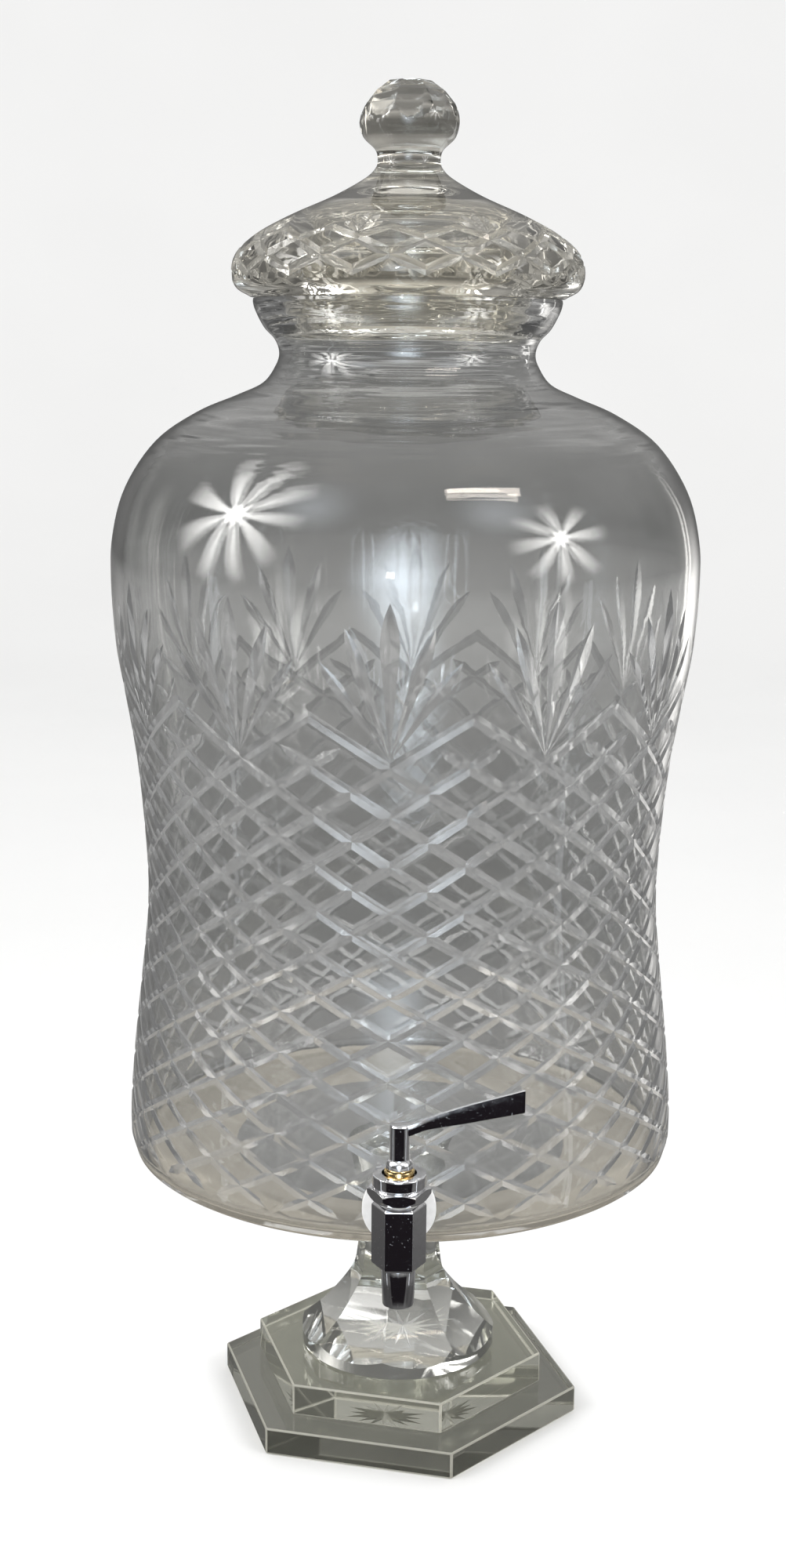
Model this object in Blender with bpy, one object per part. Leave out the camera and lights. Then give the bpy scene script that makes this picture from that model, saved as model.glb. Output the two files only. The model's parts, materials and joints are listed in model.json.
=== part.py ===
"""Cut-glass beverage dispenser: a lidded glass jar on a faceted pedestal and two hexagonal glass
plates, with a quarter-turn metal spigot through the jar's wall.

Metres, +Z up.  The origin is the centre of the lower plate's underside.  The jar's axis is Z, the
spigot stands on the -Y side and its lever points to +X when the valve is closed.
"""
from math import cos, hypot, pi, radians, sin

import bmesh
import bpy
from mathutils import Matrix, Vector

MM = 0.001
GAP = 0.3 * MM  # clearance between pieces that touch

# Overall
ROUND_STEPS = 40  # facets round the jar and the lid
SMALL_STEPS = 24  # facets round the spigot's turned pieces

# Hexagonal plates
LOWER_RADIUS = 86 * MM  # to a corner
LOWER_TOP = 12.4 * MM
UPPER_RADIUS = 69 * MM
UPPER_TOP = 27.4 * MM
PLATE_TURN = radians(16.5)  # a corner's angle from -Y towards +X
PLATE_ARRIS = 0.8 * MM

# Pedestal
FOOT_PANELS = 8
FOOT_PANEL_TURN = radians(-9)  # a ridge's angle from -Y towards +X
FOOT_RIM_RADIUS = 45.5 * MM
FOOT_RIM_TOP = 32.5 * MM
STEM_ROUND_ABOVE = 84 * MM  # the panels fade into a round stem here
STEM_FADE = 14 * MM
FACETS_PER_PANEL = 4

# Jar
JAR_BOTTOM = 121 * MM
JAR_TOP = 510.4 * MM
JAR_WALL = 5.2 * MM
JAR_FLOOR = 131.5 * MM
JAR_SIDE_RADIUS = 124.4 * MM  # widest round the lower body, where the spigot sits
HEEL_TOP = 135 * MM
HEEL_REACH = 48 * MM
INNER_HEEL = 6 * MM
MOUTH_RADIUS = 54.5 * MM
MOUTH_DEPTH = 13 * MM

# Lid
LID_SEAT = JAR_TOP + GAP
LID_TOP = 600 * MM
PLUG_RADIUS = 53.4 * MM
PLUG_BORE = 47.5 * MM
PLUG_DEPTH = 11 * MM
LID_CEILING = 550 * MM

# Spigot
SPIGOT_Y = -150 * MM
SHANK_Z = 146.5 * MM
SHANK_RADIUS = 8 * MM
SHANK_HOLE = SHANK_RADIUS + GAP
SHANK_BORE = 4 * MM
SHANK_END_Y = -104 * MM
BODY_FLAT = 9.5 * MM  # half the hexagon across its flats
BODY_BOTTOM = 133 * MM
BODY_TOP = 160 * MM
BODY_CHAMFER = 1.2 * MM
BOSS_RADIUS = 9 * MM
SHOULDER_RADIUS = 10.8 * MM
SHOULDER_BACK_Y = -127.9 * MM
SHOULDER_FRONT_Y = -130.8 * MM
CHAMBER_RADIUS = 7 * MM
CHAMBER_FLOOR = 140.5 * MM
OUTLET_BORE = 4.2 * MM
SOCKET_RADIUS = 5.9 * MM
SOCKET_TOP = 138 * MM  # counterbore that holds the spout tube's neck
SPOUT_END = 116.5 * MM
PAST = 2 * MM  # how far a cutter runs past the face it opens

# Bonnet nut, its gasket and its bush
BONNET_GASKET = 0.8 * MM
NUT_BOTTOM = BODY_TOP + GAP + BONNET_GASKET + GAP
NUT_WIDEST = 163.8 * MM
NUT_TOP = 166.4 * MM
NUT_FLAT = 11.1 * MM
NUT_CORNER = 12.9 * MM
NUT_LOWER_CORNER = 10.7 * MM
NUT_TOP_RADIUS = 10.6 * MM
COLLAR_RADIUS = 10.9 * MM
COLLAR_NECK = 10.3 * MM
COLLAR_TOP = 172 * MM
SKIRT_BOTTOM = 156.1 * MM
SEAL_BORE = 5.6 * MM
SEAL_BORE_TOP = 160.6 * MM
BUSH_RADIUS = 6.1 * MM
BUSH_BORE = 7 * MM
BUSH_BOTTOM = 165.9 * MM
HUB_BOTTOM = 173.9 * MM

# Valve
PLUG_VALVE_RADIUS = 5.3 * MM
PLUG_VALVE_TOP = 154.2 * MM
PLUG_WAY_TOP = 149.5 * MM
PLUG_PORT = 3.3 * MM
SEAT_TOP = 154.5 * MM
SEAT_PORT = 3.6 * MM
THRUST_WASHER = 1 * MM
STEM_RADIUS = 3.2 * MM
STEM_HOLE = STEM_RADIUS + GAP
O_RING_CORD = 0.9 * MM
O_RING_HEIGHTS = (157.1 * MM, 159.3 * MM)
TANG = 2 * MM  # half the side of the square that drives the plug
TANG_TOP = 176.9 * MM

# Lever
LEVER_ROD_RADIUS = 4 * MM
LEVER_ROD_TOP = 192.3 * MM
LEVER_HUB_RADIUS = 5.6 * MM
LEVER_LENGTH = 49 * MM
BLADE_SIDES = 12

# Shank fixings
OUTER_GASKET_RADIUS = 15.15 * MM
OUTER_GASKET_FACE = 127.6 * MM  # from the jar's axis
INNER_GASKET_RADIUS = 13.5 * MM
INNER_GASKET_FACE = 116.4 * MM
WASHER_RADIUS = 12.8 * MM
WASHER = 1.2 * MM
LOCK_NUT_FLAT = 12 * MM
LOCK_NUT = 6 * MM


# ---------------------------------------------------------------- helpers
def clear_scene():
    for old in list(bpy.data.objects):
        bpy.data.objects.remove(old, do_unlink=True)


def material(name, colour, roughness, metallic=0.0, glassy=0.0):
    made = bpy.data.materials.new(name)
    made.use_nodes = True
    shader = made.node_tree.nodes["Principled BSDF"]
    shader.inputs["Base Color"].default_value = (*colour, 1.0)
    shader.inputs["Roughness"].default_value = roughness
    shader.inputs["Metallic"].default_value = metallic
    shader.inputs["Transmission Weight"].default_value = glassy
    return made


def glass(name):
    return material(name, (0.86, 0.89, 0.87), 0.02, glassy=1.0)


def chrome(name):
    return material(name, (0.78, 0.78, 0.80), 0.08, metallic=1.0)


def new_object(name, bm, look=None, location=(0, 0, 0), smooth=True):
    """Close a bmesh into an object, with its faces out."""
    bmesh.ops.remove_doubles(bm, verts=bm.verts, dist=1e-6)
    bmesh.ops.recalc_face_normals(bm, faces=bm.faces)
    mesh = bpy.data.meshes.new(name)
    bm.to_mesh(mesh)
    bm.free()
    if smooth:
        mesh.shade_smooth()
        mesh.set_sharp_from_angle(angle=radians(30))
    made = bpy.data.objects.new(name, mesh)
    made.location = location
    bpy.context.collection.objects.link(made)
    if look:
        mesh.materials.append(look)
    return made


def smooth_line(stations, steps=2):
    """Catmull-Rom curve through (radius, height) stations."""
    ends = [(2 * stations[0][k] - stations[1][k]) for k in (0, 1)]
    tail = [(2 * stations[-1][k] - stations[-2][k]) for k in (0, 1)]
    points = [Vector(p) for p in [ends, *stations, tail]]
    line = []
    for a, b, c, d in zip(points, points[1:], points[2:], points[3:]):
        for step in range(steps):
            t = step / steps
            line.append(0.5 * (2 * b + (c - a) * t + (2 * a - 5 * b + 4 * c - d) * t * t
                               + (3 * b - a - 3 * c + d) * t ** 3))
    line.append(points[-2])
    return [tuple(p) for p in line]


def arc(centre, radii, start, end, steps):
    """Points of an elliptical arc, angles in degrees from the outward direction."""
    turned = [radians(start + (end - start) * k / steps) for k in range(steps + 1)]
    return [(centre[0] + radii[0] * cos(a), centre[1] + radii[1] * sin(a)) for a in turned]


def offset_line(line, distance):
    """Move a line, drawn from top to bottom on an outer side, towards the inside."""
    moved = []
    for k, (r, z) in enumerate(line):
        before = line[max(k - 1, 0)]
        after = line[min(k + 1, len(line) - 1)]
        along = (after[0] - before[0], after[1] - before[1])
        length = hypot(*along)
        moved.append((r + along[1] / length * distance, z - along[0] / length * distance))
    return moved


def turned(name, profile, look=None, steps=SMALL_STEPS, location=(0, 0, 0), closed=True):
    """Spin a (radius, height) outline round Z; a closed outline makes a ring."""
    bm = bmesh.new()
    verts = [bm.verts.new((r, 0, z)) for r, z in profile]
    pairs = list(zip(verts, verts[1:]))
    if closed:
        pairs.append((verts[-1], verts[0]))
    edges = [bm.edges.new(pair) for pair in pairs]
    bmesh.ops.spin(bm, geom=verts + edges, cent=(0, 0, 0), axis=(0, 0, 1), angle=2 * pi,
                   steps=steps, use_merge=True)
    return new_object(name, bm, look, location)


def tube_ring(name, inner, outer, bottom, top, look=None, chamfer=0.0, **where):
    """A plain ring, with its outer corners chamfered."""
    c = chamfer
    profile = [(inner, top), (outer - c, top), (outer, top - c), (outer, bottom + c),
               (outer - c, bottom), (inner, bottom)]
    if not c:
        profile = [(inner, top), (outer, top), (outer, bottom), (inner, bottom)]
    return turned(name, profile, look, **where)


def rod(name, radius, bottom, top, location=(0, 0, 0), along_y=False, look=None,
        steps=SMALL_STEPS):
    bm = bmesh.new()
    bmesh.ops.create_cone(bm, cap_ends=True, segments=steps, radius1=radius, radius2=radius,
                          depth=top - bottom, matrix=Matrix.Translation((0, 0, (top + bottom) / 2)))
    if along_y:
        bm.transform(Matrix.Rotation(-pi / 2, 4, "X"))
    return new_object(name, bm, look, location)


def hex_prism(name, flat, bottom, top, look=None, chamfer=0.0, location=(0, 0, 0), turn=0.0):
    """A hexagonal bar with a flat towards -Y (before the turn) and chamfered ends."""
    corner = flat / cos(pi / 6)
    bm = bmesh.new()
    bmesh.ops.create_cone(bm, cap_ends=True, segments=6, radius1=corner, radius2=corner,
                          depth=top - bottom, matrix=Matrix.Translation((0, 0, (top + bottom) / 2))
                          @ Matrix.Rotation(turn + pi / 6, 4, "Z"))
    if chamfer:
        ends = [e for e in bm.edges if abs(e.verts[0].co.z - e.verts[1].co.z) < 1e-7]
        bmesh.ops.bevel(bm, geom=ends, offset=chamfer, segments=1, affect="EDGES", profile=0.5)
    return new_object(name, bm, look, location, smooth=False)


def as_tool(tool, operation, target):
    """Apply a helper shape to a piece with an exact Boolean."""
    tool.hide_render = True
    tool.display_type = "WIRE"
    tool.parent = target.parent
    step = target.modifiers.new(tool.name, "BOOLEAN")
    step.operation = operation
    step.solver = "EXACT"
    step.object = tool


def body_empty(name, location):
    made = bpy.data.objects.new(name, None)
    made.location = location
    bpy.context.collection.objects.link(made)
    return made


# ---------------------------------------------------------------- glass base
def build_plates():
    for name, radius, bottom, top in (("lower_plate", LOWER_RADIUS, 0.0, LOWER_TOP),
                                      ("upper_plate", UPPER_RADIUS, LOWER_TOP + GAP, UPPER_TOP)):
        hex_prism(name, radius * cos(pi / 6), bottom, top, glass(name), PLATE_ARRIS,
                  turn=PLATE_TURN + pi / 6)


def build_pedestal():
    """Eight hollow-ground panels run down from a round stem to a thin round foot."""
    bottom = UPPER_TOP + GAP
    top = JAR_BOTTOM - GAP
    stations = [(24 * MM, top), (20.6 * MM, 104 * MM), (19 * MM, STEM_ROUND_ABOVE),
                (18.4 * MM, 72 * MM), (19.6 * MM, 64 * MM), (24 * MM, 56 * MM),
                (31.5 * MM, 46 * MM), (39 * MM, 38.5 * MM), (45 * MM, 33.6 * MM)]
    line = smooth_line(stations, 2)
    around = FOOT_PANELS * FACETS_PER_PANEL
    bm = bmesh.new()
    rings = []
    for flat, z in line + [(None, FOOT_RIM_TOP), (None, bottom)]:
        ring = []
        for k in range(around):
            angle = 2 * pi * k / around
            if flat is None:
                radius = FOOT_RIM_RADIUS
            else:
                from_middle = angle % (2 * pi / FOOT_PANELS) - pi / FOOT_PANELS
                fade = min(max((STEM_ROUND_ABOVE - z) / STEM_FADE, 0.0), 1.0)
                cut = flat / cos(from_middle)
                radius = min(flat + (cut - flat) * fade, FOOT_RIM_RADIUS)
            turn = angle + FOOT_PANEL_TURN
            ring.append(bm.verts.new((radius * sin(turn), -radius * cos(turn), z)))
        rings.append(ring)
    for upper, lower in zip(rings, rings[1:]):
        for k in range(around):
            nxt = (k + 1) % around
            bm.faces.new((upper[k], upper[nxt], lower[nxt], lower[k]))
    bm.faces.new(rings[0])
    bm.faces.new(rings[-1])
    new_object("pedestal", bm, glass("pedestal"))


# ---------------------------------------------------------------- jar
def jar_outer_line(steps=2):
    """The jar's outside from its top rim to the heel: collar, neck, shoulder, waist, base."""
    collar_and_neck = [(67, 510.4), (65.9, 505.5), (62, 498), (57.4, 493), (55.5, 487.5),
                       (57, 482), (62.5, 474.6), (74, 469.2)]
    shoulder = [(91, 462), (109, 449.6), (122.4, 430), (128.3, 409), (129.2, 389)]
    waist_and_base = [(127.5, 362), (124, 341), (118.8, 308), (115.5, 268), (115.3, 244),
                      (117.4, 221), (122, 180), (124.3, 152), (124.4, 135)]
    stations = collar_and_neck + shoulder + waist_and_base
    return smooth_line([(r * MM, z * MM) for r, z in stations], steps)


def heel_line(inset=0.0):
    centre = (JAR_SIDE_RADIUS - HEEL_REACH, HEEL_TOP)
    return arc(centre, (HEEL_REACH - inset, HEEL_TOP - JAR_BOTTOM - inset), 0, -90, 7)[1:]


def jar_inner_line():
    """The inside from the floor's centre up to the mouth, parallel to the outside."""
    inner = [p for p in offset_line(jar_outer_line(steps=1), JAR_WALL)
             if JAR_FLOOR + 2 * INNER_HEEL < p[1] < 484 * MM]
    side = inner[-1][0]
    heel = arc((side - INNER_HEEL, JAR_FLOOR + INNER_HEEL), (INNER_HEEL, INNER_HEEL), 0, -90, 3)
    mouth = [(MOUTH_RADIUS, JAR_TOP), (MOUTH_RADIUS, JAR_TOP - MOUTH_DEPTH),
             (51.6 * MM, 492 * MM), (50.3 * MM, 487.5 * MM)]
    return mouth + inner + heel + [(0, JAR_FLOOR)]


def build_jar():
    outline = jar_outer_line() + heel_line() + [(0, JAR_BOTTOM)]
    jar = turned("jar", outline + jar_inner_line()[::-1], glass("jar"), ROUND_STEPS)
    through = JAR_SIDE_RADIUS - JAR_WALL - 3 * PAST, JAR_SIDE_RADIUS + 3 * PAST
    hole = rod("jar_spigot_hole", SHANK_HOLE, *through, (0, 0, SHANK_Z), along_y=True)
    hole.rotation_euler = (0, 0, pi)
    as_tool(hole, "DIFFERENCE", jar)


# ---------------------------------------------------------------- lid
def build_lid(parent):
    knob = [(9.5, 600), (15.5, 595.8), (20, 590.5), (21.4, 585), (19.8, 577.5), (14.6, 572.2),
            (13.4, 568), (14.4, 564.4)]
    dome = [(19.2, 560), (32.4, 552.7), (50, 545), (64.5, 537.3), (73.4, 529.6), (76, 521.5),
            (74, 514.6)]
    outer = smooth_line([(r * MM, z * MM) for r, z in knob + dome] + [(67.8 * MM, LID_SEAT)])
    plug_end = LID_SEAT - PLUG_DEPTH
    plug = [(PLUG_RADIUS, LID_SEAT), (PLUG_RADIUS, plug_end + 1 * MM),
            (PLUG_RADIUS - 1 * MM, plug_end), (PLUG_BORE, plug_end)]
    hollow = smooth_line([(PLUG_BORE, 522 * MM), (45.5 * MM, 533 * MM), (36 * MM, 542 * MM),
                          (20 * MM, 548 * MM), (0, LID_CEILING)])
    lid = turned("lid", [(0, LID_TOP)] + outer + plug + hollow, glass("lid"), ROUND_STEPS,
                 closed=False)
    place_on(lid, parent)


def place_on(piece, parent):
    """Hang a piece on its body's empty without moving it."""
    piece.parent = parent
    piece.matrix_parent_inverse = Matrix.Translation(parent.location).inverted()


# ---------------------------------------------------------------- spigot, fixed pieces
AT_SPIGOT = (0, SPIGOT_Y, 0)


def build_spigot_body():
    look = chrome("spigot_body")
    body = hex_prism("spigot_body", BODY_FLAT, BODY_BOTTOM, BODY_TOP, look, BODY_CHAMFER,
                     AT_SPIGOT)
    inside_hexagon = SPIGOT_Y + BODY_FLAT - PAST
    inside_shoulder = SHOULDER_BACK_Y - MM
    for name, radius, start, end in (
            ("body_boss", BOSS_RADIUS, inside_hexagon, inside_shoulder),
            ("body_shoulder", SHOULDER_RADIUS, SHOULDER_FRONT_Y, SHOULDER_BACK_Y),
            ("body_shank", SHANK_RADIUS, inside_shoulder, SHANK_END_Y)):
        as_tool(rod(name, radius, start, end, (0, 0, SHANK_Z), along_y=True), "UNION", body)
    as_tool(rod("body_chamber", CHAMBER_RADIUS, CHAMBER_FLOOR, BODY_TOP + PAST, AT_SPIGOT),
            "DIFFERENCE", body)
    as_tool(rod("body_outlet", OUTLET_BORE, SOCKET_TOP - MM, CHAMBER_FLOOR + MM, AT_SPIGOT),
            "DIFFERENCE", body)
    as_tool(rod("body_socket", SOCKET_RADIUS, BODY_BOTTOM - PAST, SOCKET_TOP, AT_SPIGOT),
            "DIFFERENCE", body)
    inside_chamber = SPIGOT_Y + CHAMBER_RADIUS / 2
    as_tool(rod("body_inlet", SHANK_BORE, inside_chamber, SHANK_END_Y + PAST, (0, 0, SHANK_Z),
                along_y=True), "DIFFERENCE", body)


def build_spout_tube():
    neck = SOCKET_RADIUS - GAP
    shoulder = BODY_BOTTOM - GAP
    profile = [(OUTLET_BORE, SOCKET_TOP - GAP), (neck, SOCKET_TOP - GAP), (neck, shoulder),
               (6.5 * MM, shoulder), (6.9 * MM, shoulder - 0.5 * MM),
               (6.3 * MM, SPOUT_END + 0.4 * MM), (5.9 * MM, SPOUT_END), (OUTLET_BORE, SPOUT_END)]
    turned("spout_tube", profile, chrome("spout_tube"), location=AT_SPIGOT)


def build_bonnet_nut():
    """A hexagonal nut with a round collar, screwed down into the valve chamber."""
    nut = hex_prism("bonnet_nut", NUT_FLAT, NUT_BOTTOM, NUT_TOP, chrome("bonnet_nut"),
                    location=AT_SPIGOT)
    envelope = [(0, NUT_TOP + MM), (NUT_TOP_RADIUS, NUT_TOP + MM),
                (NUT_TOP_RADIUS, NUT_TOP + 0.2 * MM), (NUT_CORNER, NUT_TOP - 1.1 * MM),
                (NUT_CORNER, NUT_WIDEST), (NUT_LOWER_CORNER, NUT_BOTTOM),
                (NUT_LOWER_CORNER, NUT_BOTTOM - MM), (0, NUT_BOTTOM - MM)]
    as_tool(turned("nut_envelope", envelope, location=AT_SPIGOT, closed=False), "INTERSECT", nut)
    inside_nut = NUT_TOP - 0.4 * MM
    collar = [(0, COLLAR_TOP), (COLLAR_RADIUS - 0.5 * MM, COLLAR_TOP),
              (COLLAR_RADIUS, COLLAR_TOP - 0.5 * MM), (COLLAR_RADIUS, NUT_TOP + 1.2 * MM),
              (COLLAR_NECK, NUT_TOP + 0.5 * MM), (COLLAR_NECK, inside_nut), (0, inside_nut)]
    as_tool(turned("nut_collar", collar, location=AT_SPIGOT, closed=False), "UNION", nut)
    as_tool(rod("nut_skirt", CHAMBER_RADIUS - GAP, SKIRT_BOTTOM, NUT_BOTTOM + MM, AT_SPIGOT),
            "UNION", nut)
    as_tool(rod("nut_seal_bore", SEAL_BORE, SKIRT_BOTTOM - PAST, SEAL_BORE_TOP, AT_SPIGOT),
            "DIFFERENCE", nut)
    as_tool(rod("nut_stem_bore", STEM_HOLE, SEAL_BORE_TOP - MM, BUSH_BOTTOM + MM, AT_SPIGOT),
            "DIFFERENCE", nut)
    as_tool(rod("nut_bush_bore", BUSH_BORE, BUSH_BOTTOM - GAP, COLLAR_TOP + PAST, AT_SPIGOT),
            "DIFFERENCE", nut)


def build_valve_parts():
    """The seals that stay in the chamber, bottom to top, and the bush above them."""
    seat = tube_ring("valve_seat", PLUG_VALVE_RADIUS + GAP, CHAMBER_RADIUS - GAP,
                     CHAMBER_FLOOR + GAP, SEAT_TOP,
                     material("valve_seat", (0.92, 0.92, 0.90), 0.45), location=AT_SPIGOT)
    as_tool(rod("seat_port", SEAT_PORT, SPIGOT_Y + PAST, SPIGOT_Y + CHAMBER_RADIUS + MM,
                (0, 0, SHANK_Z), along_y=True), "DIFFERENCE", seat)
    tube_ring("thrust_washer", STEM_HOLE, CHAMBER_RADIUS - 0.4 * MM, SEAT_TOP + GAP,
              SEAT_TOP + GAP + THRUST_WASHER,
              material("thrust_washer", (0.92, 0.92, 0.90), 0.4), location=AT_SPIGOT)
    for name, middle in zip(("stem_o_ring_lower", "stem_o_ring_upper"), O_RING_HEIGHTS):
        section = arc((STEM_HOLE + O_RING_CORD, middle), (O_RING_CORD, O_RING_CORD), 0, 360, 6)
        turned(name, section[:-1], material(name, (0.03, 0.03, 0.03), 0.6), 20, AT_SPIGOT)
    tube_ring("bonnet_gasket", CHAMBER_RADIUS + GAP, 9 * MM, BODY_TOP + GAP,
              BODY_TOP + GAP + BONNET_GASKET,
              material("bonnet_gasket", (0.90, 0.90, 0.88), 0.45), location=AT_SPIGOT)
    tube_ring("stem_bush", STEM_HOLE, BUSH_RADIUS, BUSH_BOTTOM, HUB_BOTTOM - GAP,
              material("stem_bush", (0.80, 0.62, 0.34), 0.18, metallic=1.0), 0.4 * MM,
              location=AT_SPIGOT)


def build_shank_fixings():
    """What clamps the shank to the jar: gaskets on both sides, a washer and a nut inside."""
    outer = along_shank(tube_ring, "outer_gasket", SHANK_HOLE, OUTER_GASKET_RADIUS,
                        JAR_SIDE_RADIUS - 2 * PAST, OUTER_GASKET_FACE,
                        material("outer_gasket", (0.90, 0.90, 0.89), 0.5))
    outside = [(r + GAP, z) for r, z in jar_outer_line() + heel_line()]
    wall = turned("jar_outside_guide", [(0, JAR_TOP)] + outside + [(0, JAR_BOTTOM)],
                  steps=ROUND_STEPS, closed=False)
    as_tool(wall, "DIFFERENCE", outer)

    inner = along_shank(tube_ring, "inner_gasket", SHANK_HOLE, INNER_GASKET_RADIUS,
                        INNER_GASKET_FACE, JAR_SIDE_RADIUS - PAST,
                        material("inner_gasket", (0.88, 0.88, 0.87), 0.5))
    inside = [(r - GAP, z) for r, z in jar_inner_line() if MM < r and z < JAR_TOP - 30 * MM]
    room = turned("jar_inside_guide", [(0, inside[0][1])] + inside + [(0, JAR_FLOOR + GAP)],
                  steps=ROUND_STEPS, closed=False)
    as_tool(room, "INTERSECT", inner)

    washer_back = INNER_GASKET_FACE - GAP
    washer_face = washer_back - WASHER
    along_shank(tube_ring, "inner_washer", SHANK_HOLE, WASHER_RADIUS, washer_face, washer_back,
                material("inner_washer", (0.62, 0.62, 0.63), 0.3, metallic=1.0))
    nut_back = washer_face - GAP
    nut = along_shank(hex_prism, "lock_nut", LOCK_NUT_FLAT, nut_back - LOCK_NUT, nut_back,
                      material("lock_nut", (0.65, 0.65, 0.66), 0.25, 1.0), 0.8 * MM)
    bore = rod("lock_nut_bore", SHANK_HOLE, nut_back - LOCK_NUT - PAST, nut_back + PAST,
               (0, 0, SHANK_Z), along_y=True)
    bore.rotation_euler = (0, 0, pi)
    as_tool(bore, "DIFFERENCE", nut)


def along_shank(builder, name, *sizes):
    """Build a piece along Z and lay it along -Y, on the shank's line."""
    made = builder(name, *sizes)
    made.data.transform(Matrix.Rotation(pi / 2, 4, "X"))
    made.location = (0, 0, SHANK_Z)
    return made


# ---------------------------------------------------------------- spigot, turning pieces
def build_valve_plug(parent):
    """A round plug with a port in its side and a way down from the port to the spout."""
    bottom = CHAMBER_FLOOR + 0.5 * MM
    profile = [(0, HUB_BOTTOM - GAP), (STEM_RADIUS, HUB_BOTTOM - GAP),
               (STEM_RADIUS, PLUG_VALVE_TOP), (PLUG_VALVE_RADIUS, PLUG_VALVE_TOP),
               (PLUG_VALVE_RADIUS, bottom), (0, bottom)]
    plug = turned("valve_plug", profile,
                  material("valve_plug", (0.78, 0.60, 0.32), 0.25, metallic=1.0),
                  location=AT_SPIGOT, closed=False)
    as_tool(square_bar("plug_tang", TANG, HUB_BOTTOM - PAST, TANG_TOP), "UNION", plug)
    as_tool(rod("plug_way_down", 3.4 * MM, bottom - MM, PLUG_WAY_TOP, AT_SPIGOT), "DIFFERENCE",
            plug)
    side = rod("plug_side_port", PLUG_PORT, 0, PLUG_VALVE_RADIUS + PAST, (0, SPIGOT_Y, SHANK_Z),
               along_y=True)
    side.rotation_euler = (0, 0, pi / 2)  # opens towards -X while the valve is closed
    as_tool(side, "DIFFERENCE", plug)
    hang(plug, parent)


def square_bar(name, half, bottom, top):
    """An upright bar of square section on the spigot's axis."""
    bm = bmesh.new()
    bmesh.ops.create_cube(bm, size=1.0, matrix=Matrix.Translation((0, 0, (bottom + top) / 2))
                          @ Matrix.Diagonal((2 * half, 2 * half, top - bottom, 1.0)))
    return new_object(name, bm, location=AT_SPIGOT, smooth=False)


def hang(piece, parent):
    """Hang a piece and its helper shapes on a body's empty."""
    place_on(piece, parent)
    for tool in piece.modifiers:
        place_on(tool.object, parent)


def build_lever(parent):
    """A domed hub and upright rod, with an arm that flattens into a rising blade."""
    hub = [(0, LEVER_ROD_TOP), (LEVER_ROD_RADIUS - 0.5 * MM, LEVER_ROD_TOP),
           (LEVER_ROD_RADIUS, LEVER_ROD_TOP - 0.5 * MM), (LEVER_ROD_RADIUS, HUB_BOTTOM + 4 * MM),
           (4.9 * MM, HUB_BOTTOM + 3.4 * MM), (5.5 * MM, HUB_BOTTOM + 2.2 * MM),
           (LEVER_HUB_RADIUS, HUB_BOTTOM + 0.3 * MM),
           (LEVER_HUB_RADIUS - 0.3 * MM, HUB_BOTTOM), (0, HUB_BOTTOM)]
    lever = turned("lever", hub, chrome("lever"), location=AT_SPIGOT, closed=False)
    as_tool(lever_blade(), "UNION", lever)
    as_tool(square_bar("lever_socket", TANG + GAP, HUB_BOTTOM - MM, TANG_TOP + GAP),
            "DIFFERENCE", lever)
    hang(lever, parent)


def lever_blade():
    """Loft of rounded sections: distance out, middle height, half height, half thickness."""
    sections = [(0, 189.4, 2.4, 2.4), (4, 190.1, 2.35, 2.3), (7.5, 191.4, 2.3, 2.0),
                (11, 192.6, 2.5, 1.4), (25.5, 196.4, 3.85, 1.1), (47.6, 201.8, 4.9, 1.0),
                (LEVER_LENGTH / MM, 202.2, 4.5, 0.8)]
    squareness = 0.6
    bm = bmesh.new()
    rings = []
    for out, middle, tall, thick in sections:
        ring = []
        for k in range(BLADE_SIDES):
            angle = 2 * pi * k / BLADE_SIDES
            corner = max(abs(cos(angle)), abs(sin(angle))) ** squareness
            ring.append(bm.verts.new((out * MM, thick * MM * cos(angle) / corner,
                                      (middle + tall * sin(angle) / corner) * MM)))
        rings.append(ring)
    for near, far in zip(rings, rings[1:]):
        for k in range(BLADE_SIDES):
            nxt = (k + 1) % BLADE_SIDES
            bm.faces.new((near[k], near[nxt], far[nxt], far[k]))
    bm.faces.new(rings[0])
    bm.faces.new(rings[-1])
    return new_object("lever_blade", bm, location=AT_SPIGOT)


def main():
    clear_scene()
    lid_body = body_empty("lid_body", (0, 0, LID_SEAT))
    lever_body = body_empty("lever_body", (0, SPIGOT_Y, HUB_BOTTOM))
    build_plates()
    build_pedestal()
    build_jar()
    build_lid(lid_body)
    build_spigot_body()
    build_spout_tube()
    build_bonnet_nut()
    build_valve_parts()
    build_shank_fixings()
    build_valve_plug(lever_body)
    build_lever(lever_body)


main()
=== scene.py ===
"""The looks of a cut-glass beverage dispenser: a jar and lid cut with diamonds and fans, a
panelled foot on two hexagonal plates, and a chrome quarter-turn spigot.

Metres, +Z up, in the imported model's frame, the origin under the lower plate's centre and the
spigot on the -Y side.  A turn is an angle from -Y towards +X.
"""
import json
from bisect import bisect_right
from functools import cache
from math import ceil, cos, hypot, pi, radians, sin

import bmesh
import bpy
from mathutils import Matrix, Vector
from mathutils.geometry import delaunay_2d_cdt


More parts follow.
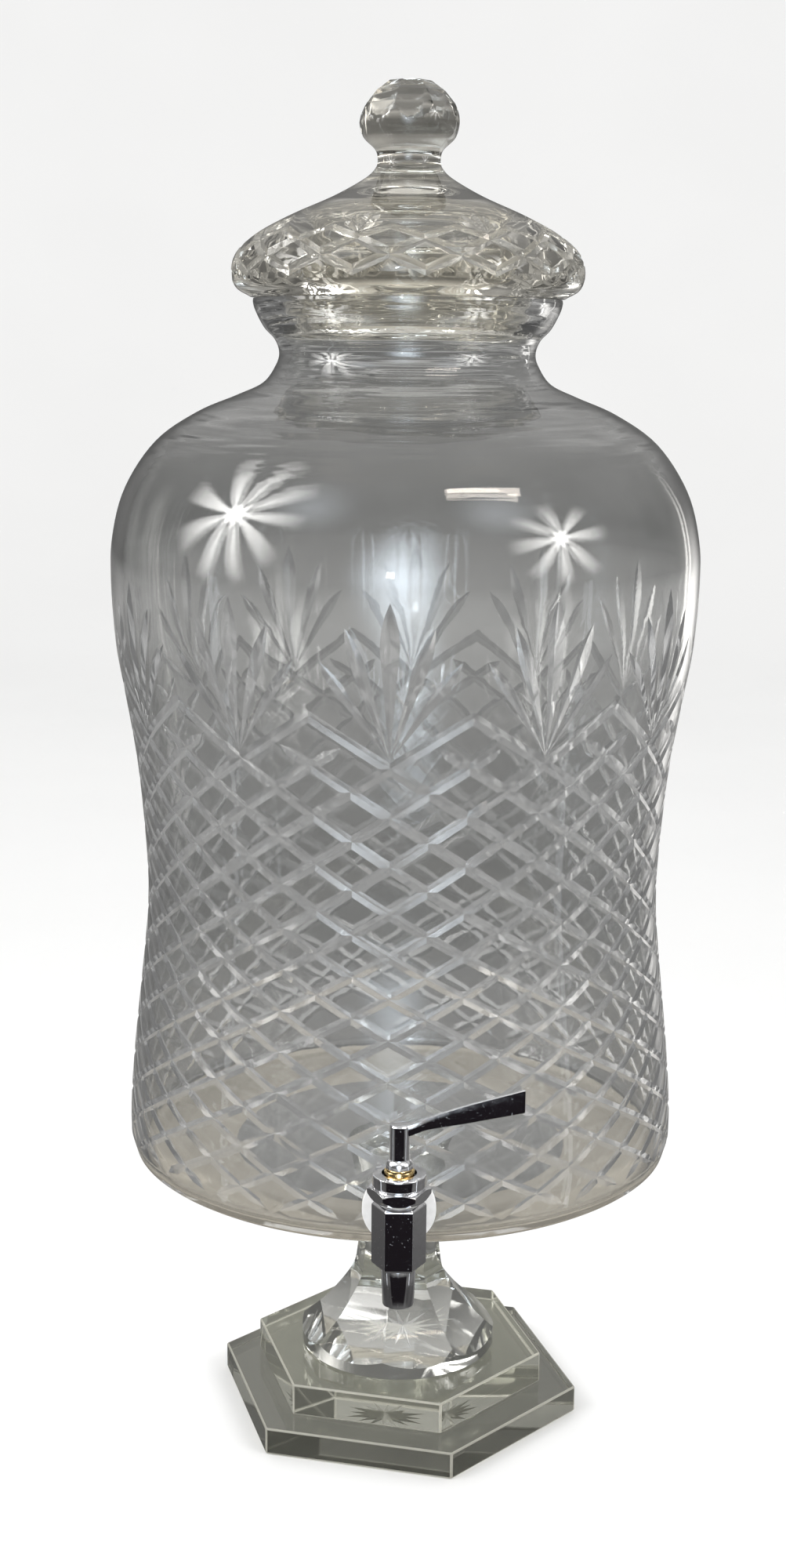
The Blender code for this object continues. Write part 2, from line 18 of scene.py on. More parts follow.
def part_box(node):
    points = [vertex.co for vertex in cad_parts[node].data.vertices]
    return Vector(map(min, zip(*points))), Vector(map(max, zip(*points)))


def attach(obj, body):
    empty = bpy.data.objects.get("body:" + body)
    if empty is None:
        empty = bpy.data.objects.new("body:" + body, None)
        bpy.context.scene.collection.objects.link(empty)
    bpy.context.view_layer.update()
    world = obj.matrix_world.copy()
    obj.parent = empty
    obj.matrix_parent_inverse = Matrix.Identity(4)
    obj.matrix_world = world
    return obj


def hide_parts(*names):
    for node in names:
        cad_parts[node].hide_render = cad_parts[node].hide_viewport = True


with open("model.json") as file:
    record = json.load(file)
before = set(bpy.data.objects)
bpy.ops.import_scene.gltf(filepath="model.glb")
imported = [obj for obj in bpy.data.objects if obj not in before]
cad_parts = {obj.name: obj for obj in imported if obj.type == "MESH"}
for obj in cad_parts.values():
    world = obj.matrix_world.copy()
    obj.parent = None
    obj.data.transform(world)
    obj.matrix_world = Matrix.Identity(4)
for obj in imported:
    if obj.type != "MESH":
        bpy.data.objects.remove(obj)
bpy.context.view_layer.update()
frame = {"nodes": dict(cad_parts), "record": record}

MM = 0.001
GAP = 0.3 * MM  # clearance between pieces that touch
ROUND_STEPS = 192  # segments round the jar, the lid and the foot
SMALL_STEPS = 64  # and round the spigot's pieces
WELD = 2e-6

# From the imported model
LOWER_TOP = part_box("lower_plate")[1].z
UPPER_BOTTOM, UPPER_TOP = (corner.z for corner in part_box("upper_plate"))
JAR_BOTTOM, JAR_TOP = (corner.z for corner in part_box("jar"))
JAR_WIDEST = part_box("jar")[1].x
LID_SEAT = JAR_TOP + GAP
LID_BOTTOM, LID_TOP = (corner.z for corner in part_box("lid"))
LID_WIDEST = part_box("lid")[1].x
FOOT_BOTTOM, FOOT_TOP = (corner.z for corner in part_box("pedestal"))
BODY_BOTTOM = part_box("spigot_body")[0].z
SPOUT_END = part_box("spout_tube")[0].z
HUB_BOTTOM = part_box("lever")[0].z

# Hexagonal plates
LOWER_RADIUS = 86 * MM  # to a corner
UPPER_RADIUS = 69 * MM
PLATE_TURN = radians(16.5)  # a corner
PLATE_ARRIS = 0.8 * MM

# Pedestal
FOOT_PANELS = 8
FOOT_PANEL_TURN = radians(-9)  # a ridge
FOOT_RIM_RADIUS = 45.5 * MM
FOOT_RIM_TOP = 32.5 * MM
STEM_ROUND_ABOVE = 84 * MM
STEM_FADE = 14 * MM
STAR_RAYS = 16
STAR_RADIUS = 20 * MM
SHORT_RAY = 0.86  # of a long ray
STAR_VALLEY = 6 * MM
STAR_DEPTH = 1.6 * MM

# Jar
JAR_WALL = 5.2 * MM
JAR_FLOOR = 131.5 * MM
JAR_SIDE_RADIUS = 124.4 * MM
HEEL_TOP = 135 * MM
HEEL_REACH = 48 * MM
INNER_HEEL = 6 * MM
HEEL_GLASS_BELOW = 127 * MM
HEEL_GLASS_PAST = 104 * MM
HEEL_GLASS_UNDER = 78 * MM
MOUTH_RADIUS = 54.5 * MM
MOUTH_DEPTH = 13 * MM

# Cuts on the jar
JAR_FANS = 12
JAR_FAN_TURN = radians(-2.5)
JAR_CUT_TOP = 400 * MM  # the zone that holds every cut
JAR_CUT_BOTTOM = 131 * MM
JAR_FAN_FOOT = 328 * MM
JAR_ROW = 17.1 * MM
JAR_ROW_STRETCH = 3.5 * MM  # the top rows are taller than the others
JAR_LAST_ROW = 10
JAR_CUT_DEPTH = 0.7 * MM

# Lid
PLUG_RADIUS = 53.4 * MM
PLUG_BORE = 47.5 * MM
LID_CEILING = 550 * MM
LID_FANS = 8
LID_FAN_TURN = radians(-17.15)
LID_CUT_TOP = 548.5 * MM
LID_CUT_BOTTOM = 516.8 * MM
LID_CUT_DEPTH = 1.1 * MM

# Spigot
SPIGOT_Y = -150 * MM
AT_SPIGOT = Matrix.Translation((0, SPIGOT_Y, 0))
SHANK_Z = 146.5 * MM
SHANK_RADIUS = 8 * MM
SHANK_HOLE = SHANK_RADIUS + GAP
ALONG_SHANK = Matrix.Translation((0, 0, SHANK_Z)) @ Matrix.Rotation(-pi / 2, 4, "X")


# ---- outlines
def between(a, b, c, d, t):
    """Catmull-Rom curve from b to c, for one number or a vector of them."""
    return 0.5 * (2 * b + (c - a) * t + (2 * a - 5 * b + 4 * c - d) * t * t
                  + (3 * b - a - 3 * c + d) * t ** 3)


def smooth_line(stations, steps):
    """A smooth curve through (radius, height) stations."""
    ends = [2 * stations[0][k] - stations[1][k] for k in (0, 1)]
    tail = [2 * stations[-1][k] - stations[-2][k] for k in (0, 1)]
    points = [Vector(p) for p in [ends, *stations, tail]]
    line = [between(*four, step / steps)
            for four in zip(points, points[1:], points[2:], points[3:]) for step in range(steps)]
    return [tuple(p) for p in [*line, points[-2]]]


def in_metres(*stations):
    return [(r * MM, z * MM) for r, z in stations]


def arc(centre, radii, start, end, steps):
    """An elliptical arc, its angles in degrees from outward."""
    turned = [radians(start + (end - start) * k / steps) for k in range(steps + 1)]
    return [(centre[0] + radii[0] * cos(a), centre[1] + radii[1] * sin(a)) for a in turned]


def offset_line(line, distance):
    """Move an outer line, drawn downwards, towards the inside."""
    moved = []
    for k, (r, z) in enumerate(line):
        before, after = line[max(k - 1, 0)], line[min(k + 1, len(line) - 1)]
        along = (after[0] - before[0], after[1] - before[1])
        length = hypot(*along)
        moved.append((r + along[1] / length * distance, z - along[0] / length * distance))
    return moved


def value_at(pairs, x):
    """Straight-line reading of (x, value) pairs, carried on past both ends."""
    k = min(max(bisect_right([p[0] for p in pairs], x), 1), len(pairs) - 1)
    (x0, a), (x1, b) = pairs[k - 1], pairs[k]
    return a + (b - a) * (x - x0) / (x1 - x0)


class Outline:
    """A turned surface's outline, read by the distance run along it from its top."""

    def __init__(self, line):
        self.line = line
        self.run = [0.0]
        for a, b in zip(line, line[1:]):
            self.run.append(self.run[-1] + hypot(b[0] - a[0], b[1] - a[1]))

    def reach(self, height):
        """The distance at which the outline has come down to a height."""
        for (k, a), b in zip(enumerate(self.line), self.line[1:]):
            if a[1] >= height > b[1]:
                share = (a[1] - height) / (a[1] - b[1])
                return self.run[k] + share * (self.run[k + 1] - self.run[k])
        raise ValueError(f"no height {height}")

    def spot(self, distance, depth=0.0):
        """(radius, height) at a distance, sunk under the surface by a depth."""
        k = min(max(bisect_right(self.run, distance), 1), len(self.run) - 1)
        step = self.run[k] - self.run[k - 1]
        share = (distance - self.run[k - 1]) / step
        r, z = self.line[k - 1]
        out, up = self.line[k][0] - r, self.line[k][1] - z
        return r + out * share + up / step * depth, z + up * share - out / step * depth

    def rows(self, start, end):
        """The outline's own points between two distances, with both ends."""
        inside = [p for p, d in zip(self.line, self.run) if start + 1e-6 < d < end - 1e-6]
        return [self.spot(start), *inside, self.spot(end)]


# ---- meshes
def at_turn(radius, turn, height):
    return Vector((radius * sin(turn), -radius * cos(turn), height))


def spin_rows(bm, rows, first_turn=0.0, steps=ROUND_STEPS, shaped=None):
    """Quads between rings; shaped(turn, radius, height) may move a ring's points."""
    rings = []
    for r, z in rows:
        if r < 1e-6:
            rings.append([bm.verts.new((0, 0, z))])
            continue
        turns = [first_turn + 2 * pi * k / steps for k in range(steps)]
        spots = [(r, z) if shaped is None else shaped(turn, r, z) for turn in turns]
        rings.append([bm.verts.new(at_turn(out, turn, up))
                      for turn, (out, up) in zip(turns, spots)])
    join_rings(bm, rings, steps)


def join_rings(bm, rings, steps):
    """Faces between rings of points, one of which may be a single point."""
    for upper, lower in zip(rings, rings[1:]):
        for k in range(steps):
            n = (k + 1) % steps
            bm.faces.new([*dict.fromkeys((upper[k % len(upper)], upper[n % len(upper)],
                                          lower[n % len(lower)], lower[k % len(lower)]))])


def linked(name, data):
    made = bpy.data.objects.new(name, data)
    bpy.context.collection.objects.link(made)
    return made


def finished(name, bm, looks=(), place=None, sharp=30.0):
    """Close a bmesh into an object, with its faces out and smooth up to an angle."""
    bmesh.ops.remove_doubles(bm, verts=bm.verts, dist=WELD)
    bmesh.ops.recalc_face_normals(bm, faces=bm.faces)
    if place:
        bm.transform(place)
    mesh = bpy.data.meshes.new(name)
    bm.to_mesh(mesh)
    bm.free()
    made = linked(name, mesh)
    for look in looks:
        mesh.materials.append(look)
    shade(made, sharp)
    return made


def shade(piece, sharp=30.0, flats=False):
    """Smooth up to an angle; with flats, broad faces keep their own direction."""
    piece.data.shade_smooth()
    piece.data.set_sharp_from_angle(angle=radians(sharp))
    if flats:
        step = piece.modifiers.new("flats", "WEIGHTED_NORMAL")
        step.weight = 100
        step.keep_sharp = True
        apply_steps(piece, True)


def apply_steps(piece, all_layers=False):
    """Replace a piece's mesh by what its modifiers make of it."""
    graph = bpy.context.evaluated_depsgraph_get()
    result = bpy.data.meshes.new_from_object(
        piece.evaluated_get(graph), preserve_all_data_layers=all_layers, depsgraph=graph)
    piece.modifiers.clear()
    piece.data = result


def turned(name, rows, looks=(), steps=SMALL_STEPS, place=None, closed=True, first_turn=0.0):
    """Spin an outline round Z; a closed outline makes a ring."""
    bm = bmesh.new()
    spin_rows(bm, [*rows, rows[0]] if closed else rows, first_turn, steps)
    return finished(name, bm, looks, place)


def rod(name, radius, bottom, top, place):
    """A round tool.  Its facets start at a turn of their own, so that those of nested bores
    don't line up and upset a Boolean."""
    return turned(name, [(0, top), (radius, top), (radius, bottom), (0, bottom)], place=place,
                  closed=False, first_turn=radians(0.37) * radius / MM)


def along_shank(start, end, radius, name):
    """A round tool along the shank, between two distances from the jar's axis."""
    return rod(name, radius, -end, -start, ALONG_SHANK)


def hex_bar(name, flat, bottom, top, looks=(), place=None, turn=0.0, chamfer=0.0, soft=0.0):
    """A hexagonal bar with a flat towards -Y before the turn."""
    bm = bmesh.new()
    corner = flat / cos(pi / 6)
    bmesh.ops.create_cone(bm, cap_ends=True, segments=6, radius1=corner, radius2=corner,
                          depth=top - bottom, matrix=Matrix.Translation((0, 0, (top + bottom) / 2))
                          @ Matrix.Rotation(turn + pi / 6, 4, "Z"))
    if chamfer:
        ends = [e for e in bm.edges if abs(e.verts[0].co.z - e.verts[1].co.z) < 1e-7]
        bmesh.ops.bevel(bm, geom=ends, offset=chamfer, segments=1, affect="EDGES", profile=0.5)
    if soft:
        bmesh.ops.bevel(bm, geom=list(bm.edges), offset=soft, segments=3, affect="EDGES",
                        profile=0.5, clamp_overlap=True, material=1 if len(looks) > 1 else -1)
    return finished(name, bm, looks, place)


def cut_with(piece, *steps):
    """Apply (operation, tool) Booleans one after another and drop the tools."""
    for operation, tool in steps:
        step = piece.modifiers.new(tool.name, "BOOLEAN")
        step.operation = operation
        step.solver = "EXACT"
        step.object = tool
    apply_steps(piece)
    for _, tool in steps:
        bpy.data.objects.remove(tool)
    return piece


# ---- cut patterns
LEAF_WIDEST = 0.73
LEAF_STATIONS = (0, 0.18, 0.36, 0.55, 0.73, 0.83, 0.92, 1)
ALL_ARMS = {(0, 1), (0, -1), (1, 1), (1, -1)}  # (lattice direction, way)


def nearest(spot, start, end):
    """The point of a straight line from start to end that is nearest to a spot."""
    line = end - start
    return start + line * min(max((spot - start).dot(line) / line.length_squared, 0), 1)


class Pattern:
    """Half a repeat of the cuts, laid flat: points (across, along), their depths, and the lines
    that the surface follows.  Mitre cuts cross in a diamond lattice, where a place is (p, q):
    p grows down to the right and q down to the left."""

    def __init__(self, outline, repeats, first_turn, radius, zone, rows, half, depth, corners):
        """zone holds the cuts' top and bottom, rows (lattice row, height) pairs, half and depth
        a mitre cut's size, and corners the crossings that lack some arms."""
        self.outline, self.repeats, self.first_turn = outline, repeats, first_turn
        self.radius, self.width = radius, pi / repeats * radius
        self.top, self.bottom = (outline.reach(z) for z in zone)
        self.rows = [(v, outline.reach(z)) for v, z in rows]
        self.half, self.depth, self.corners = half, depth, corners
        self.number, self.points, self.depths, self.lines = {}, [], [], set()
        self.leaves, self.creases = [], []

    def point(self, across, along, depth=0.0):
        key = (round(across * 1e7), round(along * 1e7))
        if key not in self.number:
            self.number[key] = len(self.points)
            self.points.append(Vector((across, along)))
            self.depths.append(depth)
        return self.number[key]

    def follow(self, *points):
        self.lines.update((min(a, b), max(a, b)) for a, b in zip(points, points[1:]) if a != b)

    def leaf(self, foot, lean, length, width, depth, bend=0.0):
        """A pointed leaf: a V-cut that widens from its foot and closes at its tip."""
        along, side = Vector((sin(lean), -cos(lean))), Vector((cos(lean), sin(lean)))
        left, middle, right = [], [], []
        for t in LEAF_STATIONS:
            open_to = t / LEAF_WIDEST if t < LEAF_WIDEST else (
                1 - ((t - LEAF_WIDEST) / (1 - LEAF_WIDEST)) ** 2)
            at = Vector(foot) + along * length * t + side * bend * t * t
            half = 0.5 * width * open_to
            middle.append(self.point(*at, depth * open_to))
            left.append(self.point(*(at - side * half)) if abs(lean) > 1e-6 else middle[-1])
            right.append(self.point(*(at + side * half)))
        for line in (left, middle, right, *zip(left, middle, right)):
            self.follow(*line)
        self.leaves.append((Vector(foot), Vector(foot) + along * length, width / 2))

    def place(self, p, q):
        return (q - p) / 2 * self.width, value_at(self.rows, (p + q) / 2)

    def at(self, p, q, depth=0.0):
        return self.point(*self.place(p, q), depth)

    def mix(self, a, b, share, depth=0.0):
        return self.at(a[0] + (b[0] - a[0]) * share, a[1] + (b[1] - a[1]) * share, depth)

    def end_corner(self, node, axis, way, side):
        """Where an outline of the groove leaving a crossing starts."""
        arms = self.corners.get(node, ALL_ARMS)
        place = list(node)
        place[1 - axis] += side * self.half
        place[axis] += way * self.half if (1 - axis, side) in arms else -way * self.half
        return place

    def groove(self, start, end):
        """A groove from crossing to crossing: a crease between two outlines."""
        axis = 0 if start[1] == end[1] else 1
        way = 1 if end[axis] > start[axis] else -1
        pieces = 2 * abs(end[axis] - start[axis])
        crease = [self.mix(start, end, k / pieces, self.depth) for k in range(pieces + 1)]
        self.follow(*crease)
        self.creases.append((start, end))
        for side in (-1, 1):
            a = self.end_corner(start, axis, way, side)
            b = self.end_corner(end, axis, -way, side)
            edge = [self.mix(a, b, k / pieces) for k in range(pieces + 1)]
            self.follow(crease[0], *edge, crease[-1])

    def stub(self, node, axis, way, full=0.5, tip=0.8):
        """A groove that keeps its width for a while and runs out to a point."""
        def along(distance, side=0.0, depth=0.0):
            place = list(node)
            place[axis] += way * distance
            place[1 - axis] += side
            return self.at(*place, depth)
        end = along(tip)
        middle = along(full, 0, self.depth)
        self.follow(self.at(*node, self.depth), middle, end)
        far = list(node)
        far[axis] += way * tip
        self.creases.append((node, far))
        for side in (-self.half, self.half):
            self.follow(self.at(*node, self.depth), along(self.half, side), along(full, side), end)
            self.follow(middle, along(full, side))

    def plain(self, p, q, margin):
        """Is a place on uncut glass, this far from a leaf?"""
        spot, flat = Vector((p, q)), Vector(self.place(p, q))
        return all(max(abs(c) for c in spot - nearest(spot, Vector(a), Vector(b)))
                   >= self.half + 0.06 for a, b in self.creases) and all(
            (flat - nearest(flat, a, b)).length >= half + margin for a, b, half in self.leaves)

    def fill(self, rows, margin):
        """Points on the uncut glass, so that it follows the vessel's round, and edges that
        match the plain glass beyond them."""
        columns = ROUND_STEPS // self.repeats // 2
        for k in range(columns + 1):
            for v in rows:
                u = k / columns
                if self.plain(v - u, v + u, margin):
                    self.at(v - u, v + u)
        for along in (self.top, self.bottom):
            self.follow(*[self.point(self.width * k / columns, along)
                          for k in range(columns + 1)])

    def wrap(self, bm):
        """Lay triangles that keep every line round the outline, mirrored and repeated."""
        spots, _, faces, sources, _, _ = delaunay_2d_cdt(self.points, list(self.lines), [], 0, 1e-7)
        depths = [self.depths[s[0]] if s else 0.0 for s in sources]
        placed = [(p.x / self.radius, *self.outline.spot(p.y, d)) for p, d in zip(spots, depths)]
        for k in range(2 * self.repeats):
            way = 1 if k % 2 else -1
            middle = self.first_turn + 2 * pi * (k // 2) / self.repeats
            verts = [bm.verts.new(at_turn(r, middle + way * turn, z)) for turn, r, z in placed]
            for face in faces:
                made = bm.faces.new([verts[n] for n in face])
                made.material_index = int(any(depths[n] > 0 for n in face))


# ---- jar
def jar_outer_line(steps):
    """The jar's outside from its rim down to the heel."""
    stations = in_metres(
        (67, 510.4), (65.9, 505.5), (62, 498), (57.4, 493), (55.5, 487.5), (57, 482),
        (62.5, 474.6), (74, 469.2), (91, 462), (109, 449.6), (122.4, 430), (128.3, 409),
        (129.2, 389), (127.5, 362), (124, 341), (118.8, 308), (115.5, 268), (115.3, 244),
        (117.4, 221), (122, 180), (124.3, 152), (124.4, 135))
    return [(min(r, JAR_WIDEST), z) for r, z in smooth_line(stations, steps)]


def heel_line():
    centre = (JAR_SIDE_RADIUS - HEEL_REACH, HEEL_TOP)
    return arc(centre, (HEEL_REACH, HEEL_TOP - JAR_BOTTOM), 0, -90, 16)[1:]


def jar_inner_line():
    """The inside, from the mouth to the floor's centre."""
    inner = [p for p in offset_line(jar_outer_line(4), JAR_WALL)
             if JAR_FLOOR + 2 * INNER_HEEL < p[1] < 484 * MM]
    side = inner[-1][0]
    heel = arc((side - INNER_HEEL, JAR_FLOOR + INNER_HEEL), (INNER_HEEL, INNER_HEEL), 0, -90, 8)
    mouth = smooth_line([(MOUTH_RADIUS, JAR_TOP - MOUTH_DEPTH),
                         *in_metres((51.6, 492), (50.3, 487.5)), inner[0]], 5)[:-1]
    return [(MOUTH_RADIUS, JAR_TOP - 0.6 * MM), *mouth, *inner, *heel,
            (side / 2, JAR_FLOOR), (0, JAR_FLOOR)]


def jar_row_height(v):
    """Height of a lattice row below the fans' foot; the upper rows are stretched."""
    stretch = v if v < 2 else v - (v - 2) ** 2 / 4 if v < 4 else 3
    return JAR_FAN_FOOT - JAR_ROW * v - JAR_ROW_STRETCH * stretch


def jar_cuts(outline):
    peak, last = (-2, 0), JAR_LAST_ROW
    quarters = [v / 4 for v in range(-13, 44)]
    cuts = Pattern(outline, JAR_FANS, JAR_FAN_TURN, 120 * MM, (JAR_CUT_TOP, JAR_CUT_BOTTOM),
                   [(v, jar_row_height(v)) for v in quarters], 0.135, JAR_CUT_DEPTH,
                   {peak: {(0, 1), (1, 1)}})
    cuts.groove((0, 0), peak)
    for k in range(1, last + 1):
        cuts.groove((k, k), (k - 1, k))
        cuts.groove((k - 1, k), (k - 2, k))
    for k in range(last):
        cuts.groove((k, k), (k, k + 1))
        cuts.groove((k, k + 1), (k, k + 2))
    cuts.stub((-1, 1), 1, -1)
    cuts.stub((last, last), 1, 1)
    cuts.stub((last - 1, last + 1), 0, 1)
    foot = (0.0, outline.reach(331.3 * MM))
    for lean, length, width, depth, bend in (
            (0, 63.5, 7.4, 1.5, 0), (16.2, 56.2, 5.6, 1.3, 0.8), (31.6, 48.4, 4.6, 1.2, 1.6)):
        cuts.leaf(foot, radians(lean), length * MM, width * MM, depth * MM, bend * MM)
    cuts.fill(quarters[:-1], 0.9 * MM)
    return cuts


def build_jar(looks):
    outside = jar_outer_line(6)
    edge = outside[0][0]
    rim = [(MOUTH_RADIUS + 0.6 * MM, JAR_TOP), (edge - 1.2 * MM, JAR_TOP),
           (edge - 0.4 * MM, JAR_TOP - 0.3 * MM)]
    below_rim = [p for p in outside if p[1] < JAR_TOP - MM]
    outline = Outline(rim + below_rim + heel_line() + [(0, JAR_BOTTOM)])
    cuts = jar_cuts(outline)
    bm = bmesh.new()
    cuts.wrap(bm)
    for rows in (outline.rows(0, cuts.top), outline.rows(cuts.bottom, outline.run[-1]),
                 [rim[0], *jar_inner_line()]):
        spin_rows(bm, rows, JAR_FAN_TURN)
    jar = finished("jar_cut_glass", bm, looks)
    hole = along_shank(JAR_SIDE_RADIUS - JAR_WALL - 6 * MM, JAR_SIDE_RADIUS + 6 * MM, SHANK_HOLE,
                       "shank_hole")
    shade(cut_with(jar, ("DIFFERENCE", hole)), 11)
    for face in jar.data.polygons:
        out, height = hypot(*face.center.xy), face.center.z
        under = height < JAR_FLOOR - MM and out > HEEL_GLASS_UNDER
        if under or height < HEEL_GLASS_BELOW and out > HEEL_GLASS_PAST:
            face.material_index = 2
    return jar


# ---- lid
KNOB_PANELS = 8
KNOB_ROUND_BELOW = 578 * MM
# (minus height, distance of the panels from the axis)
KNOB_PANEL_LINE = in_metres((-600, 8.8), (-595.8, 14.3), (-590.5, 18.5), (-586.5, 20.3),
                            (-582, 21.5))


def off_middle(turn, ridge, panels):
    """The angle between a turn and the middle of its panel."""
    return abs((turn - ridge) % (2 * pi / panels) - pi / panels)


def facet_knob(turn, radius, height):
    """Eight flat panels ground on the upper half of the round knob."""
    if height < KNOB_ROUND_BELOW:
        return radius, height
    lean = off_middle(turn, LID_FAN_TURN, KNOB_PANELS)
    return min(radius, value_at(KNOB_PANEL_LINE, -height) / cos(lean)), height


def lid_cuts(outline):
    peak, left_foot, right_foot = (-1, 0), (1, 1), (0, 2)
    up, down = {(0, -1), (1, -1)}, {(0, 1), (1, 1)}
    cuts = Pattern(outline, LID_FANS, LID_FAN_TURN, 68 * MM, (LID_CUT_TOP, LID_CUT_BOTTOM),
                   [(v, z * MM) for v, z in ((-0.5, 537.2), (0, 533), (0.5, 526.3), (1, 519.9))],
                   0.17, LID_CUT_DEPTH, {peak: down, left_foot: up, right_foot: up})
    for start, end in (((0, 0), peak), (peak, (-1, 1)), ((0, 0), (0, 1)), ((0, 1), right_foot),
                       (left_foot, (0, 1)), ((0, 1), (-1, 1))):
        cuts.groove(start, end)
    foot = cuts.place(-0.22, -0.22)
    for lean, length, width in ((0, 17, 4.4), (24, 16, 3.9), (48, 12, 3.6)):
        cuts.leaf(foot, radians(lean), length * MM, width * MM, 1.2 * MM)
    middle = cuts.rows[1][1]
    first, last = (cuts.top - middle) / 13 / MM, (cuts.bottom - middle) / 13 / MM
    count = ceil(abs(last - first) / 0.18)
    cuts.fill([first + (last - first) * k / count for k in range(1, count)], 0.7 * MM)
    return cuts


def eased(radius, height, soft, up=1):
    """The softened corner between an upright side and a flat."""
    return [(radius, height + up * soft), (radius - 0.3 * soft, height + up * 0.3 * soft),
            (radius - soft, height)]


def build_lid(looks):
    knob_and_dome = in_metres(
        (9.5, 600), (15.5, 595.8), (20, 590.5), (21.4, 585), (19.8, 577.5), (14.6, 572.2),
        (13.4, 568), (14.4, 564.4), (19.2, 560), (32.4, 552.7), (50, 545), (64.5, 537.3),
        (73.4, 529.6), (76, 521.5), (74, 514.6))
    line = smooth_line([*knob_and_dome, (67.8 * MM, LID_SEAT)], 8)
    outline = Outline([(0, LID_TOP), *((min(r, LID_WIDEST), z) for r, z in line)])
    cuts = lid_cuts(outline)
    inner_edge = 0.32 * MM
    plug = [(PLUG_RADIUS, LID_SEAT), *eased(PLUG_RADIUS, LID_BOTTOM, 0.8 * MM),
            (PLUG_BORE + inner_edge, LID_BOTTOM), (PLUG_BORE, LID_BOTTOM + inner_edge)]
    hollow = smooth_line(in_metres((47.5, 522), (45.5, 533), (36, 542), (20, 548))
                         + [(0, LID_CEILING)], 8)
    bm = bmesh.new()
    cuts.wrap(bm)
    spin_rows(bm, outline.rows(0, cuts.top), LID_FAN_TURN, shaped=facet_knob)
    spin_rows(bm, outline.rows(cuts.bottom, outline.run[-1]) + plug + hollow, LID_FAN_TURN)
    return finished("lid_cut_glass", bm, looks, sharp=11)


# ---- base
def star_tool(height, way):
    """A star-shaped tool: creases run from a deep centre out to the tips."""
    bm = bmesh.new()
    past = height + way * MM
    deep = bm.verts.new((0, 0, height - way * STAR_DEPTH))
    cap = bm.verts.new((0, 0, past))
    low, high = [], []
    for k in range(2 * STAR_RAYS):
        turn = FOOT_PANEL_TURN + pi * k / STAR_RAYS
        radius = STAR_VALLEY if k % 2 else STAR_RADIUS * (1.0 if k % 4 else SHORT_RAY)
        low.append(bm.verts.new(at_turn(radius, turn, height + way * 0.01 * MM)))
        high.append(bm.verts.new(at_turn(radius, turn, past)))
    join_rings(bm, [[deep], low, high, [cap]], 2 * STAR_RAYS)
    return finished("star", bm)


def mark_star(piece, height):
    """Give the star's creases the look of a cut."""
    for face in piece.data.polygons:
        sunk = abs(face.center.z - height)
        if 0.02 * MM < sunk < STAR_DEPTH and hypot(*face.center.xy) < STAR_RADIUS:
            face.material_index = 1


def build_plate(name, radius, bottom, top, looks):
    plate = hex_bar(name, radius * cos(pi / 6), bottom, top, looks, turn=PLATE_TURN + pi / 6,
                    soft=PLATE_ARRIS)
    shade(plate, flats=True)
    return plate


def build_upper_plate(looks):
    plate = build_plate("upper_plate_glass", UPPER_RADIUS, UPPER_BOTTOM, UPPER_TOP, looks)
    shade(cut_with(plate, ("DIFFERENCE", star_tool(UPPER_TOP, 1))), 16, flats=True)
    mark_star(plate, UPPER_TOP)
    return plate


# (minus height, distance of the panels from the axis)
FOOT_LINE = [(-z, r) for r, z in smooth_line([(24 * MM, FOOT_TOP)] + in_metres(
    (20.6, 104), (19, 84), (18.4, 72), (19.6, 64), (24, 56), (31.5, 46), (39, 38.5), (45, 33.6),
    (46, 32.5)), 8)]


@cache
def panel_foot(lean):
    """The height at which a panel, at an angle from its middle, runs out into the rim."""
    low, high = FOOT_RIM_TOP, 45 * MM
    for _ in range(30):
        middle = (low + high) / 2
        outside = value_at(FOOT_LINE, -middle) / cos(lean) > FOOT_RIM_RADIUS
        low, high = (middle, high) if outside else (low, middle)
    return low


def panelled(turn, radius, share):
    """A ring at a share of the way down the panels, marked by a radius of 1."""
    if radius < 1:
        return radius, share
    lean = off_middle(turn, FOOT_PANEL_TURN, FOOT_PANELS)
    height = FOOT_TOP - (FOOT_TOP - panel_foot(lean)) * share
    flat = value_at(FOOT_LINE, -height)
    fade = min(max((STEM_ROUND_ABOVE - height) / STEM_FADE, 0.0), 1.0)
    return min(flat + (flat / cos(lean) - flat) * fade, FOOT_RIM_RADIUS), height


def build_pedestal(looks):
    """Hollow-ground panels run from a round stem to a thin foot, each ending in an arch."""
    steps = 46
    bm = bmesh.new()
    spin_rows(bm, [(0, FOOT_TOP), *((1, k / steps) for k in range(steps + 1)),
                   *eased(FOOT_RIM_RADIUS, FOOT_BOTTOM, 0.6 * MM), (0, FOOT_BOTTOM)],
              FOOT_PANEL_TURN, shaped=panelled)
    pedestal = finished("pedestal_glass", bm, looks)
    shade(cut_with(pedestal, ("DIFFERENCE", star_tool(FOOT_BOTTOM, -1))), 16)
    mark_star(pedestal, FOOT_BOTTOM)
    return pedestal


# ---- spigot
BODY_FLAT = 9.5 * MM  # half the hexagon across its flats
BODY_TOP = 160 * MM
CHAMBER_RADIUS = 7 * MM
CHAMBER_FLOOR = 140.5 * MM
OUTLET_BORE = 4.2 * MM
INLET_BORE = 4 * MM
SHANK_END = 104 * MM  # from the jar's axis
SHOULDER_BACK = 127.9 * MM
SOCKET_RADIUS = 5.9 * MM
SOCKET_TOP = 138 * MM
NUT_BOTTOM = 161.4 * MM
NUT_TOP = 166.4 * MM
COLLAR_TOP = 172 * MM
SKIRT_BOTTOM = 156.1 * MM
STEM_HOLE = 3.5 * MM
BUSH_BOTTOM = 165.9 * MM
BUSH_RADIUS = 6.1 * MM
TANG_HOLE = 2.3 * MM
TANG_HOLE_TOP = 177.2 * MM
PAST = 2 * MM  # how far a tool runs past the face it opens
